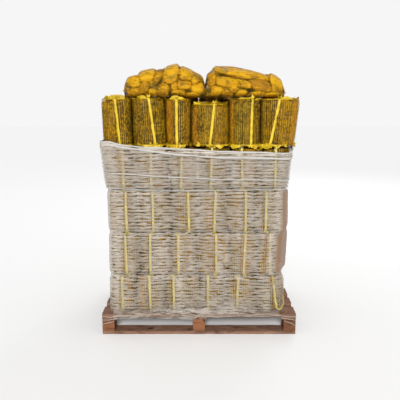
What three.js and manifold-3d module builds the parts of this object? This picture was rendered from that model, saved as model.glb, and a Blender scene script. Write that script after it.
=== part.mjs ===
// A pallet load of firewood: split logs in knitted net bags, stacked six wide and four deep.
// Four layers stand inside stretch film on a light block pallet, one loose layer stands on
// them, and two fuller bags lie across the top.
// Millimetres, +Z up. The origin is on the floor, under the middle of the pallet.
// -Y is the front of the load, +X its right.

import * as THREE from "three";
import { mergeVertices } from "three/addons/utils/BufferGeometryUtils.js";
import Module from "manifold-3d";

const wasm = await Module();
wasm.setup();

// Pallet
const PALLET_LENGTH = 1200;
const PALLET_DEPTH = 800;
const BOARD_THICK = 18;
const BOARD_CHAMFER = 2;
const DECK_BOARD_WIDTHS = [120, 95, 120, 95, 120];
const STRINGER_WIDTH = 90;
const BLOCK_LENGTH = 75;
const BLOCK_DEPTH = 95;
const BLOCK_HEIGHT = 78;
const BLOCK_TOP = BOARD_THICK + BLOCK_HEIGHT;
const DECK_UNDERSIDE = BLOCK_TOP + BOARD_THICK;
const DECK_TOP = DECK_UNDERSIDE + BOARD_THICK;

// Load: bags across and deep, and the gap kept between neighbouring solids
const COLUMNS = 6;
const ROWS = 4;
const GAP = 0.3;
const BAG_GAP = 1.5;

// Wrapped layers, from the deck up. LOAD_WIDTH and LOAD_SHIFT are at the layers' boundaries.
const LAYER_HEIGHTS = [236, 270, 266, 257];
const LOAD_WIDTH = [1094, 1075, 1082, 1080, 1134];
const LOAD_SHIFT = [-8, -12, -6, -10, -12];
const LOAD_DEPTH = 720;
const LAYER_BEVEL = 12;
const BAG_BULGE = 22;
const CORNER_RADIUS = 62;
const LAYER_TOPS = LAYER_HEIGHTS.map((_, i) =>
  LAYER_HEIGHTS.slice(0, i + 1).reduce((sum, height) => sum + height, DECK_TOP),
);
const WRAPPED_TOP = LAYER_TOPS.at(-1);

// Stretch film: several turns, drawn as one wall that bridges the grooves between the bags
const FILM_WALL = 1.5;
const FILM_CLEARANCE = 2;
const FILM_BULGE = 8;
const FILM_BEAD = 5;
const FILM_BEAD_HEIGHT = 12;
const FILM_TOP_DROP = 2;
const SKIRT_LEFT = -545;
const SKIRT_RIGHT = 470;
const SKIRT_RISE = 75;
const SKIRT_CLEARANCE = 0.8;

// Loose top layer. The front row's edges between bags, left to right, at the bags' feet and
// at their shoulders, and each front bag's height.
const FRONT_FEET = [-566, -391, -192, -50, 180, 369, 561];
const FRONT_SHOULDERS = [-574, -398, -203, -47, 177, 365, 593];
const FRONT_HEIGHTS = [281, 283, 280, 250, 276, 279];
const BACK_HEIGHT = 272;
const BACK_LEAN = 7;
const BAG_ROUNDNESS = 2.7;
const BAG_TWIST = 0.04;
const LOGS_AROUND = 8;
const POINTS_PER_LOG = 3;
const LOG_NOTCH = 0.07;
const BAG_RINGS = [
  { at: 0, spread: 0.9 },
  { at: 0.05, spread: 1 },
  { at: 0.93, spread: 1 },
  { at: 1, spread: 0.86 },
];
const LOOSE_BASE = WRAPPED_TOP + GAP;

// Lying bags: stations along X, each with the bag's height and depth there
const LYING_BASE = LOOSE_BASE + Math.max(...FRONT_HEIGHTS) + GAP;
const LYING_Y = -235;
const LYING_SIDES = 16;
const LYING_FLAT = 0.72;
const LYING_LUMP = 0.05;
const LYING_BAGS = {
  lying_bag_left: [
    { x: -442, height: 74, depth: 110 },
    { x: -424, height: 116, depth: 180 },
    { x: -352, height: 143, depth: 222 },
    { x: -262, height: 166, depth: 238 },
    { x: -126, height: 184, depth: 244 },
    { x: -30, height: 152, depth: 226 },
    { x: 22, height: 124, depth: 186 },
    { x: 34, height: 84, depth: 120 },
  ],
  lying_bag_right: [
    { x: 37, height: 88, depth: 120 },
    { x: 46, height: 136, depth: 190 },
    { x: 96, height: 172, depth: 236 },
    { x: 196, height: 163, depth: 240 },
    { x: 306, height: 151, depth: 236 },
    { x: 424, height: 132, depth: 218 },
    { x: 486, height: 98, depth: 176 },
    { x: 506, height: 60, depth: 104 },
  ],
};

const palletWood = new THREE.MeshStandardMaterial({ color: 0x8a5f47, roughness: 0.85 });
const blockWood = new THREE.MeshStandardMaterial({ color: 0xa06a45, roughness: 0.85 });
const nettedWood = new THREE.MeshStandardMaterial({ color: 0xa0801f, roughness: 0.8 });
const lyingWood = new THREE.MeshStandardMaterial({ color: 0xc8920f, roughness: 0.75 });
const wrappedWood = new THREE.MeshStandardMaterial({ color: 0x9a8d5a, roughness: 0.8 });
const film = new THREE.MeshStandardMaterial({
  color: 0xd8d5d0,
  roughness: 0.3,
  transparent: true,
  opacity: 0.45,
});

const load = new THREE.Group();

function addMesh(name, geometry, material) {
  const mesh = new THREE.Mesh(geometry, material);
  mesh.name = name;
  load.add(mesh);
  return mesh;
}

// A repeatable value from -1 to 1, different for each number given to it.
function vary(seed) {
  const scattered = Math.sin(seed * 12.9898) * 43758.5453;
  return 2 * (scattered - Math.floor(scattered)) - 1;
}

// Moves every vertex of a geometry by a function that changes the point it is given.
function reshape(geometry, move) {
  const position = geometry.getAttribute("position");
  const point = new THREE.Vector3();
  for (let i = 0; i < position.count; i += 1) {
    point.fromBufferAttribute(position, i);
    move(point);
    position.setXYZ(i, point.x, point.y, point.z);
  }
  return geometry;
}

// Pallet boards and blocks

// A board with its long edges chamfered, length along X before it is turned.
function board(length, depth, thick) {
  const y = depth / 2;
  const z = thick / 2;
  const c = BOARD_CHAMFER;
  const section = new THREE.Shape([
    new THREE.Vector2(-y + c, -z),
    new THREE.Vector2(y - c, -z),
    new THREE.Vector2(y, -z + c),
    new THREE.Vector2(y, z - c),
    new THREE.Vector2(y - c, z),
    new THREE.Vector2(-y + c, z),
    new THREE.Vector2(-y, z - c),
    new THREE.Vector2(-y, -z + c),
  ]);
  const bar = new THREE.ExtrudeGeometry(section, { depth: length, bevelEnabled: false });
  return bar
    .translate(0, 0, -length / 2)
    .rotateX(Math.PI / 2)
    .rotateZ(Math.PI / 2);
}

function addPallet() {
  const columnX = PALLET_LENGTH / 2 - BLOCK_LENGTH / 2;
  const rowY = PALLET_DEPTH / 2 - BLOCK_DEPTH / 2;
  const stringerX = PALLET_LENGTH / 2 - STRINGER_WIDTH / 2;
  const columns = [
    ["left", -1],
    ["centre", 0],
    ["right", 1],
  ];
  const rows = [
    ["front", -1],
    ["middle", 0],
    ["back", 1],
  ];

  for (const [rowName, row] of rows) {
    const skid = board(PALLET_LENGTH, BLOCK_DEPTH, BOARD_THICK);
    addMesh(`bottom_board_${rowName}`, skid, palletWood)
      .position.set(0, row * rowY, BOARD_THICK / 2);
    for (const [columnName, column] of columns) {
      const block = board(BLOCK_LENGTH, BLOCK_DEPTH, BLOCK_HEIGHT);
      addMesh(`block_${rowName}_${columnName}`, block, blockWood)
        .position.set(column * columnX, row * rowY, BOARD_THICK + BLOCK_HEIGHT / 2);
    }
  }

  for (const [columnName, column] of columns) {
    const stringer = board(PALLET_DEPTH, STRINGER_WIDTH, BOARD_THICK).rotateZ(Math.PI / 2);
    addMesh(`stringer_${columnName}`, stringer, palletWood)
      .position.set(column * stringerX, 0, BLOCK_TOP + BOARD_THICK / 2);
  }

  const boardsWide = DECK_BOARD_WIDTHS.reduce((sum, width) => sum + width, 0);
  const spacing = (PALLET_DEPTH - boardsWide) / (DECK_BOARD_WIDTHS.length - 1);
  let front = -PALLET_DEPTH / 2;
  DECK_BOARD_WIDTHS.forEach((width, i) => {
    addMesh(`deck_board_${i + 1}`, board(PALLET_LENGTH, width, BOARD_THICK), palletWood)
      .position.set(0, front + width / 2, DECK_UNDERSIDE + BOARD_THICK / 2);
    front += width + spacing;
  });
}

// Wrapped layers and the film round them

// The load seen from above: rounded corners, and one bulge on each outer bag. It is drawn at
// LOAD_WIDTH[0] and reshaped for the other heights.
function loadOutline(grow, bulge) {
  const halfWidth = LOAD_WIDTH[0] / 2 + grow;
  const halfDepth = LOAD_DEPTH / 2 + grow;
  const radius = CORNER_RADIUS + grow;
  const outline = new THREE.Shape();
  const sides = [
    { x: 0, y: -halfDepth, turn: 0, run: 2 * halfWidth, bags: COLUMNS },
    { x: halfWidth, y: 0, turn: Math.PI / 2, run: 2 * halfDepth, bags: ROWS },
    { x: 0, y: halfDepth, turn: Math.PI, run: 2 * halfWidth, bags: COLUMNS },
    { x: -halfWidth, y: 0, turn: (3 * Math.PI) / 2, run: 2 * halfDepth, bags: ROWS },
  ];
  sides.forEach(({ x, y, turn, run, bags }, side) => {
    const centre = new THREE.Vector2(x, y);
    const place = (along, inwards) =>
      new THREE.Vector2(along, inwards).rotateAround(new THREE.Vector2(), turn).add(centre);
    const edges = Array.from({ length: bags + 1 }, (_, i) => -run / 2 + (run * i) / bags);
    edges[0] = -run / 2 + radius;
    edges[bags] = run / 2 - radius;
    const atCorner = (i) => i === 0 || i === bags;
    const start = place(edges[0], 0);
    if (side === 0) outline.moveTo(start.x, start.y);
    for (let i = 0; i < bags; i += 1) {
      const rise = atCorner(i) || atCorner(i + 1) ? 0 : bulge;
      const crown = place((edges[i] + edges[i + 1]) / 2, -rise);
      const end = place(edges[i + 1], atCorner(i + 1) ? 0 : bulge);
      outline.quadraticCurveTo(crown.x, crown.y, end.x, end.y);
    }
    const corner = place(run / 2 - radius, radius);
    outline.absarc(corner.x, corner.y, radius, turn - Math.PI / 2, turn, false);
  });
  return outline;
}

function between(values, level) {
  const low = Math.min(Math.floor(level), values.length - 2);
  return THREE.MathUtils.lerp(values[low], values[low + 1], level - low);
}

// Fits a point of the bottom outline to the load's width and shift at a boundary level.
function fitToLoad(point, level) {
  const stretch = (between(LOAD_WIDTH, level) - LOAD_WIDTH[0]) / 2;
  point.x += Math.sign(point.x) * stretch * Math.min(1, Math.abs(point.x) / (LOAD_WIDTH[0] / 2));
  point.x += between(LOAD_SHIFT, level);
}

function addWrappedLayers() {
  LAYER_HEIGHTS.forEach((height, i) => {
    const body = height - GAP;
    const layer = new THREE.ExtrudeGeometry(loadOutline(0, BAG_BULGE), {
      depth: body - 2 * LAYER_BEVEL,
      curveSegments: 3,
      bevelSegments: 1,
      bevelThickness: LAYER_BEVEL,
      bevelSize: LAYER_BEVEL,
      bevelOffset: -LAYER_BEVEL,
    });
    layer.translate(0, 0, LAYER_BEVEL);
    reshape(layer, (point) => fitToLoad(point, i + point.z / height));
    addMesh(`wrapped_layer_${i + 1}`, layer, wrappedWood)
      .position.z = LAYER_TOPS[i] - height + GAP;
  });
}

function solidOf(geometry) {
  const bare = geometry.clone();
  bare.deleteAttribute("normal");
  bare.deleteAttribute("uv");
  const merged = mergeVertices(bare, 1e-3);
  return new wasm.Manifold(
    new wasm.Mesh({
      numProp: 3,
      vertProperties: new Float32Array(merged.getAttribute("position").array),
      triVerts: new Uint32Array(merged.index.array),
    }),
  );
}

function geometryOf(solid) {
  const { vertProperties, triVerts, numProp } = solid.getMesh();
  const geometry = new THREE.BufferGeometry();
  geometry.setAttribute(
    "position",
    new THREE.BufferAttribute(new Float32Array(vertProperties), numProp),
  );
  geometry.setIndex(new THREE.BufferAttribute(new Uint32Array(triVerts), 1));
  geometry.computeVertexNormals();
  return geometry;
}

// The wall of film from the deck to just under the top of the wrapped layers, with the rolled
// bead along its upper edge.
function filmWall() {
  const ring = loadOutline(FILM_CLEARANCE + FILM_WALL, FILM_BULGE);
  ring.holes.push(new THREE.Path(loadOutline(FILM_CLEARANCE, FILM_BULGE).getPoints(2)));
  const top = WRAPPED_TOP - FILM_TOP_DROP;
  const heights = [DECK_TOP + GAP, ...LAYER_TOPS.slice(0, -1), top - FILM_BEAD_HEIGHT, top];
  const steps = heights.length - 1;
  const wall = new THREE.ExtrudeGeometry(ring, {
    depth: steps,
    steps,
    curveSegments: 2,
    bevelEnabled: false,
  });
  const middleWidth = LOAD_WIDTH[0] / 2 + FILM_CLEARANCE + FILM_WALL / 2;
  const middleDepth = LOAD_DEPTH / 2 + FILM_CLEARANCE + FILM_WALL / 2;
  return reshape(wall, (point) => {
    const step = Math.round(point.z);
    point.z = heights[step];
    if (step === steps) {
      if (Math.abs(point.x) > middleWidth) point.x += Math.sign(point.x) * FILM_BEAD;
      if (Math.abs(point.y) > middleDepth) point.y += Math.sign(point.y) * FILM_BEAD;
    }
    fitToLoad(point, Math.min(step, LAYER_HEIGHTS.length));
  });
}

// The first turn of film, drawn from the load's foot over the long edge of the deck. side is
// -1 at the front and 1 at the back.
function filmSkirt(side) {
  const wall = LOAD_DEPTH / 2 + FILM_CLEARANCE;
  const lip = PALLET_DEPTH / 2 + SKIRT_CLEARANCE;
  const crest = DECK_TOP + SKIRT_CLEARANCE + FILM_WALL;
  const profile = new THREE.Shape([
    new THREE.Vector2(wall, DECK_TOP + SKIRT_RISE),
    new THREE.Vector2(wall, DECK_TOP + SKIRT_RISE - 2 * FILM_WALL),
    new THREE.Vector2(lip, crest),
    new THREE.Vector2(lip, BLOCK_TOP),
    new THREE.Vector2(lip + FILM_WALL, BLOCK_TOP),
    new THREE.Vector2(lip + FILM_WALL, crest + FILM_WALL),
  ]);
  const skirt = new THREE.ExtrudeGeometry(profile, {
    depth: SKIRT_RIGHT - SKIRT_LEFT,
    bevelEnabled: false,
  });
  skirt.rotateX(Math.PI / 2).rotateZ(Math.PI / 2).translate(SKIRT_LEFT, 0, 0);
  return side < 0 ? skirt.rotateZ(Math.PI).translate(SKIRT_LEFT + SKIRT_RIGHT, 0, 0) : skirt;
}

function addFilm() {
  const wrap = [filmSkirt(-1), filmSkirt(1)].reduce(
    (whole, skirt) => whole.add(solidOf(skirt)),
    solidOf(filmWall()),
  );
  addMesh("stretch_film", geometryOf(wrap), film);
}

// Loose bags

// A standing bag between its neighbours: feet and shoulders are [left, right] at each end, and
// rowSpan is [front, back]. The outline is notched between the logs inside the net.
function standingBag(feet, shoulders, rowSpan, height, seed) {
  const sides = LOGS_AROUND * POINTS_PER_LOG;
  const rings = BAG_RINGS.length - 1;
  const bag = new THREE.CylinderGeometry(1, 1, rings, sides, rings).rotateX(Math.PI / 2);
  const middle = (span) => (span[0] + span[1]) / 2;
  const half = (span) => (span[1] - span[0]) / 2 - BAG_GAP / 2;
  const twist = vary(seed) * BAG_TWIST;
  return reshape(bag, (point) => {
    const { at, spread } = BAG_RINGS[Math.round(point.z + rings / 2)];
    const angle = Math.atan2(point.y, point.x);
    const side = Math.round((angle / (2 * Math.PI)) * sides + sides) % sides;
    const onAxis = Math.hypot(point.x, point.y) < 0.5;
    const turned = angle + twist;
    const roundness =
      (Math.abs(Math.cos(turned)) ** BAG_ROUNDNESS + Math.abs(Math.sin(turned)) ** BAG_ROUNDNESS) **
      (-1 / BAG_ROUNDNESS);
    const notch = side % POINTS_PER_LOG === 0 ? 1 - LOG_NOTCH : 1;
    const reach = onAxis ? 0 : roundness * notch * spread;
    const left = THREE.MathUtils.lerp(feet[0], shoulders[0], at);
    const right = THREE.MathUtils.lerp(feet[1], shoulders[1], at);
    point.x = middle([left, right]) + half([left, right]) * reach * Math.cos(turned);
    point.y = middle(rowSpan) + half(rowSpan) * reach * Math.sin(turned);
    point.z = at * height;
  });
}

function addLooseLayer() {
  const rowDepth = LOAD_DEPTH / ROWS;
  for (let row = 0; row < ROWS; row += 1) {
    const rowSpan = [-LOAD_DEPTH / 2 + row * rowDepth, -LOAD_DEPTH / 2 + (row + 1) * rowDepth];
    const evenEdges = FRONT_FEET.map((_, i) =>
      THREE.MathUtils.lerp(FRONT_FEET[0], FRONT_FEET[COLUMNS], i / COLUMNS),
    );
    const leaning = evenEdges.map((edge, i) => edge + BACK_LEAN * vary(row * COLUMNS + i));
    const feet = row === 0 ? FRONT_FEET : evenEdges;
    const shoulders = row === 0 ? FRONT_SHOULDERS : leaning;
    for (let column = 0; column < COLUMNS; column += 1) {
      const seed = row * COLUMNS + column + 1;
      const height = row === 0 ? FRONT_HEIGHTS[column] : BACK_HEIGHT + BACK_LEAN * vary(-seed);
      const bag = standingBag(
        [feet[column], feet[column + 1]],
        [shoulders[column], shoulders[column + 1]],
        rowSpan,
        height,
        seed,
      );
      addMesh(`bag_row${row + 1}_${column + 1}`, bag, nettedWood).position.z = LOOSE_BASE;
    }
  }
}

// A bag on its side: an oval at each station, flattened underneath where it rests, with the
// lumps of the logs inside it.
function lyingBag(stations, seed) {
  const last = stations.length - 1;
  const bag = new THREE.CylinderGeometry(1, 1, last, LYING_SIDES, last).rotateZ(-Math.PI / 2);
  return reshape(bag, (point) => {
    const index = Math.round(point.x + last / 2);
    const { x, height, depth } = stations[index];
    const angle = Math.atan2(point.z, point.y);
    const side = Math.round((angle / (2 * Math.PI)) * LYING_SIDES + LYING_SIDES) % LYING_SIDES;
    const lump = 1 + LYING_LUMP * vary(seed + index * LYING_SIDES + side);
    const reach = Math.min(1, Math.hypot(point.y, point.z)) * lump;
    point.x = x;
    point.y = (reach * Math.cos(angle) * depth) / 2;
    const rise = reach * Math.sin(angle);
    point.z = (height * (Math.max(rise, -LYING_FLAT) + LYING_FLAT)) / (1 + LYING_FLAT);
  });
}

function addLyingBags() {
  Object.entries(LYING_BAGS).forEach(([name, stations], i) => {
    addMesh(name, lyingBag(stations, 100 * (i + 1)), lyingWood)
      .position.set(0, LYING_Y, LYING_BASE);
  });
}

addPallet();
addWrappedLayers();
addFilm();
addLooseLayer();
addLyingBags();

export default load;
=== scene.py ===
"""Finishes a pallet load of firewood: split logs in yellow net bags, film round the lower layers.

The file is laid out as an add-on. Each operator makes one group of pieces round the loaded solids,
and main() calls the operators in order. Metres, +Z up; -Y is the front of the load, +X its right.
"""

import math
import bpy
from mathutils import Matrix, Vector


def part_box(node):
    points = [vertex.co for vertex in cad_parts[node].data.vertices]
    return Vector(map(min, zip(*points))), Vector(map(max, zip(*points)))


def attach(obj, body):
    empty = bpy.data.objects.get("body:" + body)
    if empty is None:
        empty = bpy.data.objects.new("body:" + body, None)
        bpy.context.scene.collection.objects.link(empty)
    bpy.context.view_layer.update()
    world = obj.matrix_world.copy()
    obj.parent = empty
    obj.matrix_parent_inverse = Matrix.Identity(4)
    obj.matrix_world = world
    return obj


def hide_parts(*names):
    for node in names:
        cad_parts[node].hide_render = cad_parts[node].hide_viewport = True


bl_info = {
    "name": "Firewood Pallet Load",
    "version": (1, 0, 0),
    "blender": (4, 5, 0),
    "location": "3D View > Sidebar > Firewood",
    "description": "Builds a film-wrapped pallet load of split logs in net bags",
    "category": "Add Mesh",
}

import bpy
import numpy as np
from bpy.props import FloatProperty, FloatVectorProperty, IntProperty, PointerProperty
from mathutils import Vector

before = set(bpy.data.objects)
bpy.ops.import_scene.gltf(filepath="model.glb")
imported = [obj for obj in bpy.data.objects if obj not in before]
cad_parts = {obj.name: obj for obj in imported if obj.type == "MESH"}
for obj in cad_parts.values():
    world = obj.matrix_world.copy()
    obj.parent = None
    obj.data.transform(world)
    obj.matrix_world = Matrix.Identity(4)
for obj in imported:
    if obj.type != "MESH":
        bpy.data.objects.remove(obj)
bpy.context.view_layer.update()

BODY = "root"
COLUMNS, ROWS, LAYERS = 6, 4, 4
# The columns whose front bags are lower than the bags behind them
SHORT_BAGS = (2, 3)
UP = np.array((0.0, 0.0, 1.0))

# Where each front bag's seam tape runs along X: at its foot and at its top
LOOSE_SEAMS = (
    (-0.465, -0.491),
    (-0.256, -0.293),
    (-0.130, -0.131),
    (0.064, 0.090),
    (0.306, 0.310),
    (0.418, 0.470),
)
# The same for the wrapped layers from the deck up, upright on each front bag
WRAPPED_SEAMS = (
    (-0.476, -0.302, -0.154, 0.058, 0.236, 0.466),
    (-0.444, -0.298, -0.126, 0.109, 0.276, 0.440),
    (-0.437, -0.277, -0.060, 0.094, 0.283, 0.404),
    (-0.451, -0.285, -0.107, 0.071, 0.261, 0.457),
)
# How far each row's right end stands out in the two middle layers, as a share of the row
MIDDLE_ROW_ENDS = {1: (-0.05, 0.018, 0.008, 0.0), 2: (-0.016, 0.018, 0.008, 0.0)}
# The seam of the lowest right front bag runs round under its corner, as (x, z)
CORNER_SEAM = (
    (0.535, 0.205),
    (0.53, 0.17),
    (0.518, 0.148),
    (0.503, 0.141),
    (0.489, 0.152),
    (0.479, 0.19),
    (0.471, 0.24),
    (0.463, 0.3),
    (0.455, 0.362),
)
# Heights of the film's rolled edges along the front, as (x, z)
TOP_ROPE = ((-0.56, 1.192), (-0.469, 1.169), (-0.23, 1.154), (0.035, 1.138), (0.472, 1.123), (0.54, 1.158))
SECOND_ROPE = ((-0.56, 1.172), (-0.494, 1.16), (-0.23, 1.124), (0.035, 1.1), (0.495, 1.092), (0.54, 1.11))
THIRD_ROPE = ((-0.56, 1.008), (-0.232, 0.984), (0.036, 0.971), (0.54, 0.962))
BAND_HEM = ((-0.56, 0.916), (-0.295, 0.899), (0.305, 0.905), (0.54, 0.911))

# Thin strands of film round the right front block of the pallet; the left one has them mirrored
BLOCK_STRANDS = (
    ((0.49, -0.404, 0.118), (0.55, -0.4045, 0.113), (0.6, -0.4045, 0.116), (0.6035, -0.34, 0.121)),
    ((0.505, -0.404, 0.107), (0.56, -0.4045, 0.1), (0.6, -0.4045, 0.094), (0.6035, -0.35, 0.098)),
    ((0.528, -0.404, 0.085), (0.57, -0.4045, 0.071), (0.6, -0.4045, 0.06), (0.6035, -0.36, 0.064)),
)
# The skirt of film over the deck's front lip, along X: how far up the load it starts, and how far it hangs
SKIRT_RISE = (
    (-0.53, 0.02),
    (-0.3, 0.03),
    (-0.15, 0.07),
    (-0.03, 0.12),
    (0.05, 0.14),
    (0.16, 0.1),
    (0.31, 0.05),
    (0.41, 0.02),
    (0.5, 0.004),
)
SKIRT_DROP = ((-0.53, 0.034), (-0.03, 0.036), (0.0, 0.02), (0.06, 0.024), (0.4, 0.018), (0.495, 0.012))
# How squared a lying bag is across: 2 is an oval
ROUND_BAG = 2.6
# Logs at the front of the lying bags: the middle's x and z, half the width and height, the lean in
# degrees, and how pale the net looks on it
LEFT_BAG_LOGS = (
    (-0.382, 1.541, 0.041, 0.039, 0, 0.75),
    (-0.380, 1.480, 0.037, 0.028, 0, 0.40),
    (-0.301, 1.571, 0.048, 0.034, 15, 0.80),
    (-0.317, 1.500, 0.027, 0.038, -20, 0.50),
    (-0.237, 1.575, 0.022, 0.045, -20, 0.45),
    (-0.272, 1.473, 0.027, 0.022, 0, 0.70),
    (-0.163, 1.580, 0.041, 0.054, -20, 0.85),
    (-0.205, 1.490, 0.031, 0.042, -15, 0.50),
    (-0.072, 1.581, 0.039, 0.038, 0, 0.80),
    (-0.084, 1.519, 0.042, 0.026, 0, 0.65),
    (-0.143, 1.512, 0.019, 0.026, 0, 0.60),
    (-0.121, 1.470, 0.039, 0.021, 0, 0.60),
    (-0.008, 1.500, 0.036, 0.032, 10, 0.90),
    (-0.020, 1.551, 0.024, 0.032, -20, 0.70),
    (-0.036, 1.462, 0.038, 0.016, 0, 0.60),
)
RIGHT_BAG_LOGS = (
    (0.076, 1.552, 0.021, 0.040, 0, 0.45),
    (0.245, 1.584, 0.155, 0.027, -9, 0.75),
    (0.162, 1.534, 0.066, 0.027, -6, 0.85),
    (0.203, 1.496, 0.026, 0.020, 0, 0.70),
    (0.250, 1.471, 0.034, 0.020, 0, 0.90),
    (0.163, 1.469, 0.035, 0.020, 0, 0.50),
    (0.356, 1.520, 0.074, 0.034, -20, 0.30),
    (0.452, 1.525, 0.038, 0.052, 20, 0.80),
    (0.272, 1.521, 0.034, 0.020, -10, 0.75),
    (0.340, 1.466, 0.046, 0.017, 5, 0.60),
    (0.435, 1.460, 0.044, 0.018, 0, 0.90),
    (0.102, 1.488, 0.032, 0.028, 0, 0.80),
)


# Settings


def length(name, default, description):
    """A size in metres that a user may change."""
    return FloatProperty(name=name, description=description, default=default, min=0.0, unit="LENGTH")


def colour(name, default, description):
    """A linear colour that a user may change."""
    return FloatVectorProperty(
        name=name, description=description, default=default, size=3, min=0.0, max=1.0, subtype="COLOR"
    )


class PalletSettings(bpy.types.PropertyGroup):
    """The boards and blocks of the pallet."""

    edge: length("Worn edge", 0.0022, "Width of the worn edge of a board")
    warp: length("Warp", 0.0012, "How far a board's surface wanders")
    nail: length("Nail head", 0.0045, "Radius of a nail's head")
    board_colour: colour("Boards", (0.240, 0.128, 0.080), "Weathered red-brown softwood")
    board_pale: colour("Pale boards", (0.380, 0.240, 0.165), "Paler wood where a board is scuffed")
    block_colour: colour("Blocks", (0.240, 0.094, 0.042), "Orange-brown sawn block")


class LogSettings(bpy.types.PropertyGroup):
    """The split logs in the bags."""

    per_bag: IntProperty(name="Logs in a bag", description="Logs standing in one bag", default=12, min=3)
    gap: length("Gap", 0.0046, "Space left between neighbouring logs")
    soften: length("Corner", 0.004, "How much a log's split corners are broken")
    dark: colour("Dark wood", (0.024, 0.013, 0.004), "Shaded heartwood and old splits")
    olive: colour("Olive wood", (0.090, 0.078, 0.014), "Weathered, greenish splits")
    middle: colour("Wood", (0.190, 0.088, 0.014), "Split wood")
    orange: colour("Orange wood", (0.400, 0.145, 0.012), "Resinous heartwood")
    pale: colour("Pale wood", (0.520, 0.270, 0.045), "Fresh sapwood")
    bark: colour("Bark", (0.050, 0.034, 0.016), "Bark on a log's round side")


class NetSettings(bpy.types.PropertyGroup):
    """The knitted net bags and their seam tapes."""

    pitch: length("Mesh pitch", 0.0118, "Distance between a loose bag's upright threads")
    thread: length("Thread", 0.0030, "Width of an upright thread")
    wrapped_pitch: length("Wrapped pitch", 0.0125, "Distance between threads under the film")
    tape: length("Tape", 0.0135, "Width of a bag's seam tape")
    thread_colour: colour("Net", (0.545, 0.296, 0.002), "Yellow net thread")
    golden: colour("Golden net", (0.690, 0.375, 0.008), "Doubled net on the lying bags")
    orange: colour("Orange net", (0.360, 0.165, 0.006), "Doubled net over dark logs")
    # sunk is painted shade: the dark colour that the net takes where it sinks deep between two logs, and
    # in random patches.
    sunk: colour("Sunk net", (0.085, 0.070, 0.016), "Net deep between two logs")
    tape_colour: colour("Tape", (0.700, 0.500, 0.012), "Bright yellow seam tape")
    faded_tape: colour("Wrapped tape", (0.640, 0.540, 0.120), "Seam tape dulled under the film")


class FilmSettings(bpy.types.PropertyGroup):
    """The stretch film round the lower layers."""

    rib_pitch: length("Rib pitch", 0.0208, "Height of one stretched rib of film")
    rib_depth: length("Rib depth", 0.0024, "How far a rib stands out")
    rope: length("Rolled edge", 0.0052, "Radius of a rolled film edge")
    pinch: length("Pinch", 0.0100, "How far the film sinks in between two layers")
    groove: length("Groove", 0.0090, "How far the film sinks in between two bags")
    # The film's colour runs from tint in the troughs between its ribs to bright on its crests and folds:
    # tint is painted shade, dark for the shaded logs seen through the clear film, and bright is the
    # doubled film's own milky colour.
    tint: colour("Film", (0.090, 0.072, 0.050), "Milky stretched film")
    bright: colour("Film folds", (0.470, 0.412, 0.340), "Folded and doubled film")
    # lined is the tan card's colour darkened as painted shade for the shaded right side of the load.
    lined: colour("Lined film", (0.262, 0.148, 0.076), "Film over the tan card on the right side")
    rolled: colour("Film edges", (0.640, 0.615, 0.570), "Film rolled up to a cord")


class StageSettings(bpy.types.PropertyGroup):
    """The floor, the lights and the camera."""

    floor_colour: colour("Floor", (0.96, 0.96, 0.96), "Pale studio floor")
    camera_height: length("Camera height", 1.485, "Height of the lens above the floor")
    camera_distance: length("Camera distance", 3.6, "From the lens to the middle of the load")
    camera_pitch: FloatProperty(
        name="Camera pitch",
        description="How far the camera looks down",
        default=math.radians(11.2),
        subtype="ANGLE",
    )
    lens: FloatProperty(name="Lens", description="Focal length", default=49.5, unit="CAMERA")


class FirewoodLoadSettings(bpy.types.PropertyGroup):
    """All that a user would change on the load."""

    pallet: PointerProperty(type=PalletSettings)
    logs: PointerProperty(type=LogSettings)
    net: PointerProperty(type=NetSettings)
    film: PointerProperty(type=FilmSettings)
    stage: PointerProperty(type=StageSettings)


def settings():
    return bpy.context.scene.firewood_load


# Materials


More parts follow.
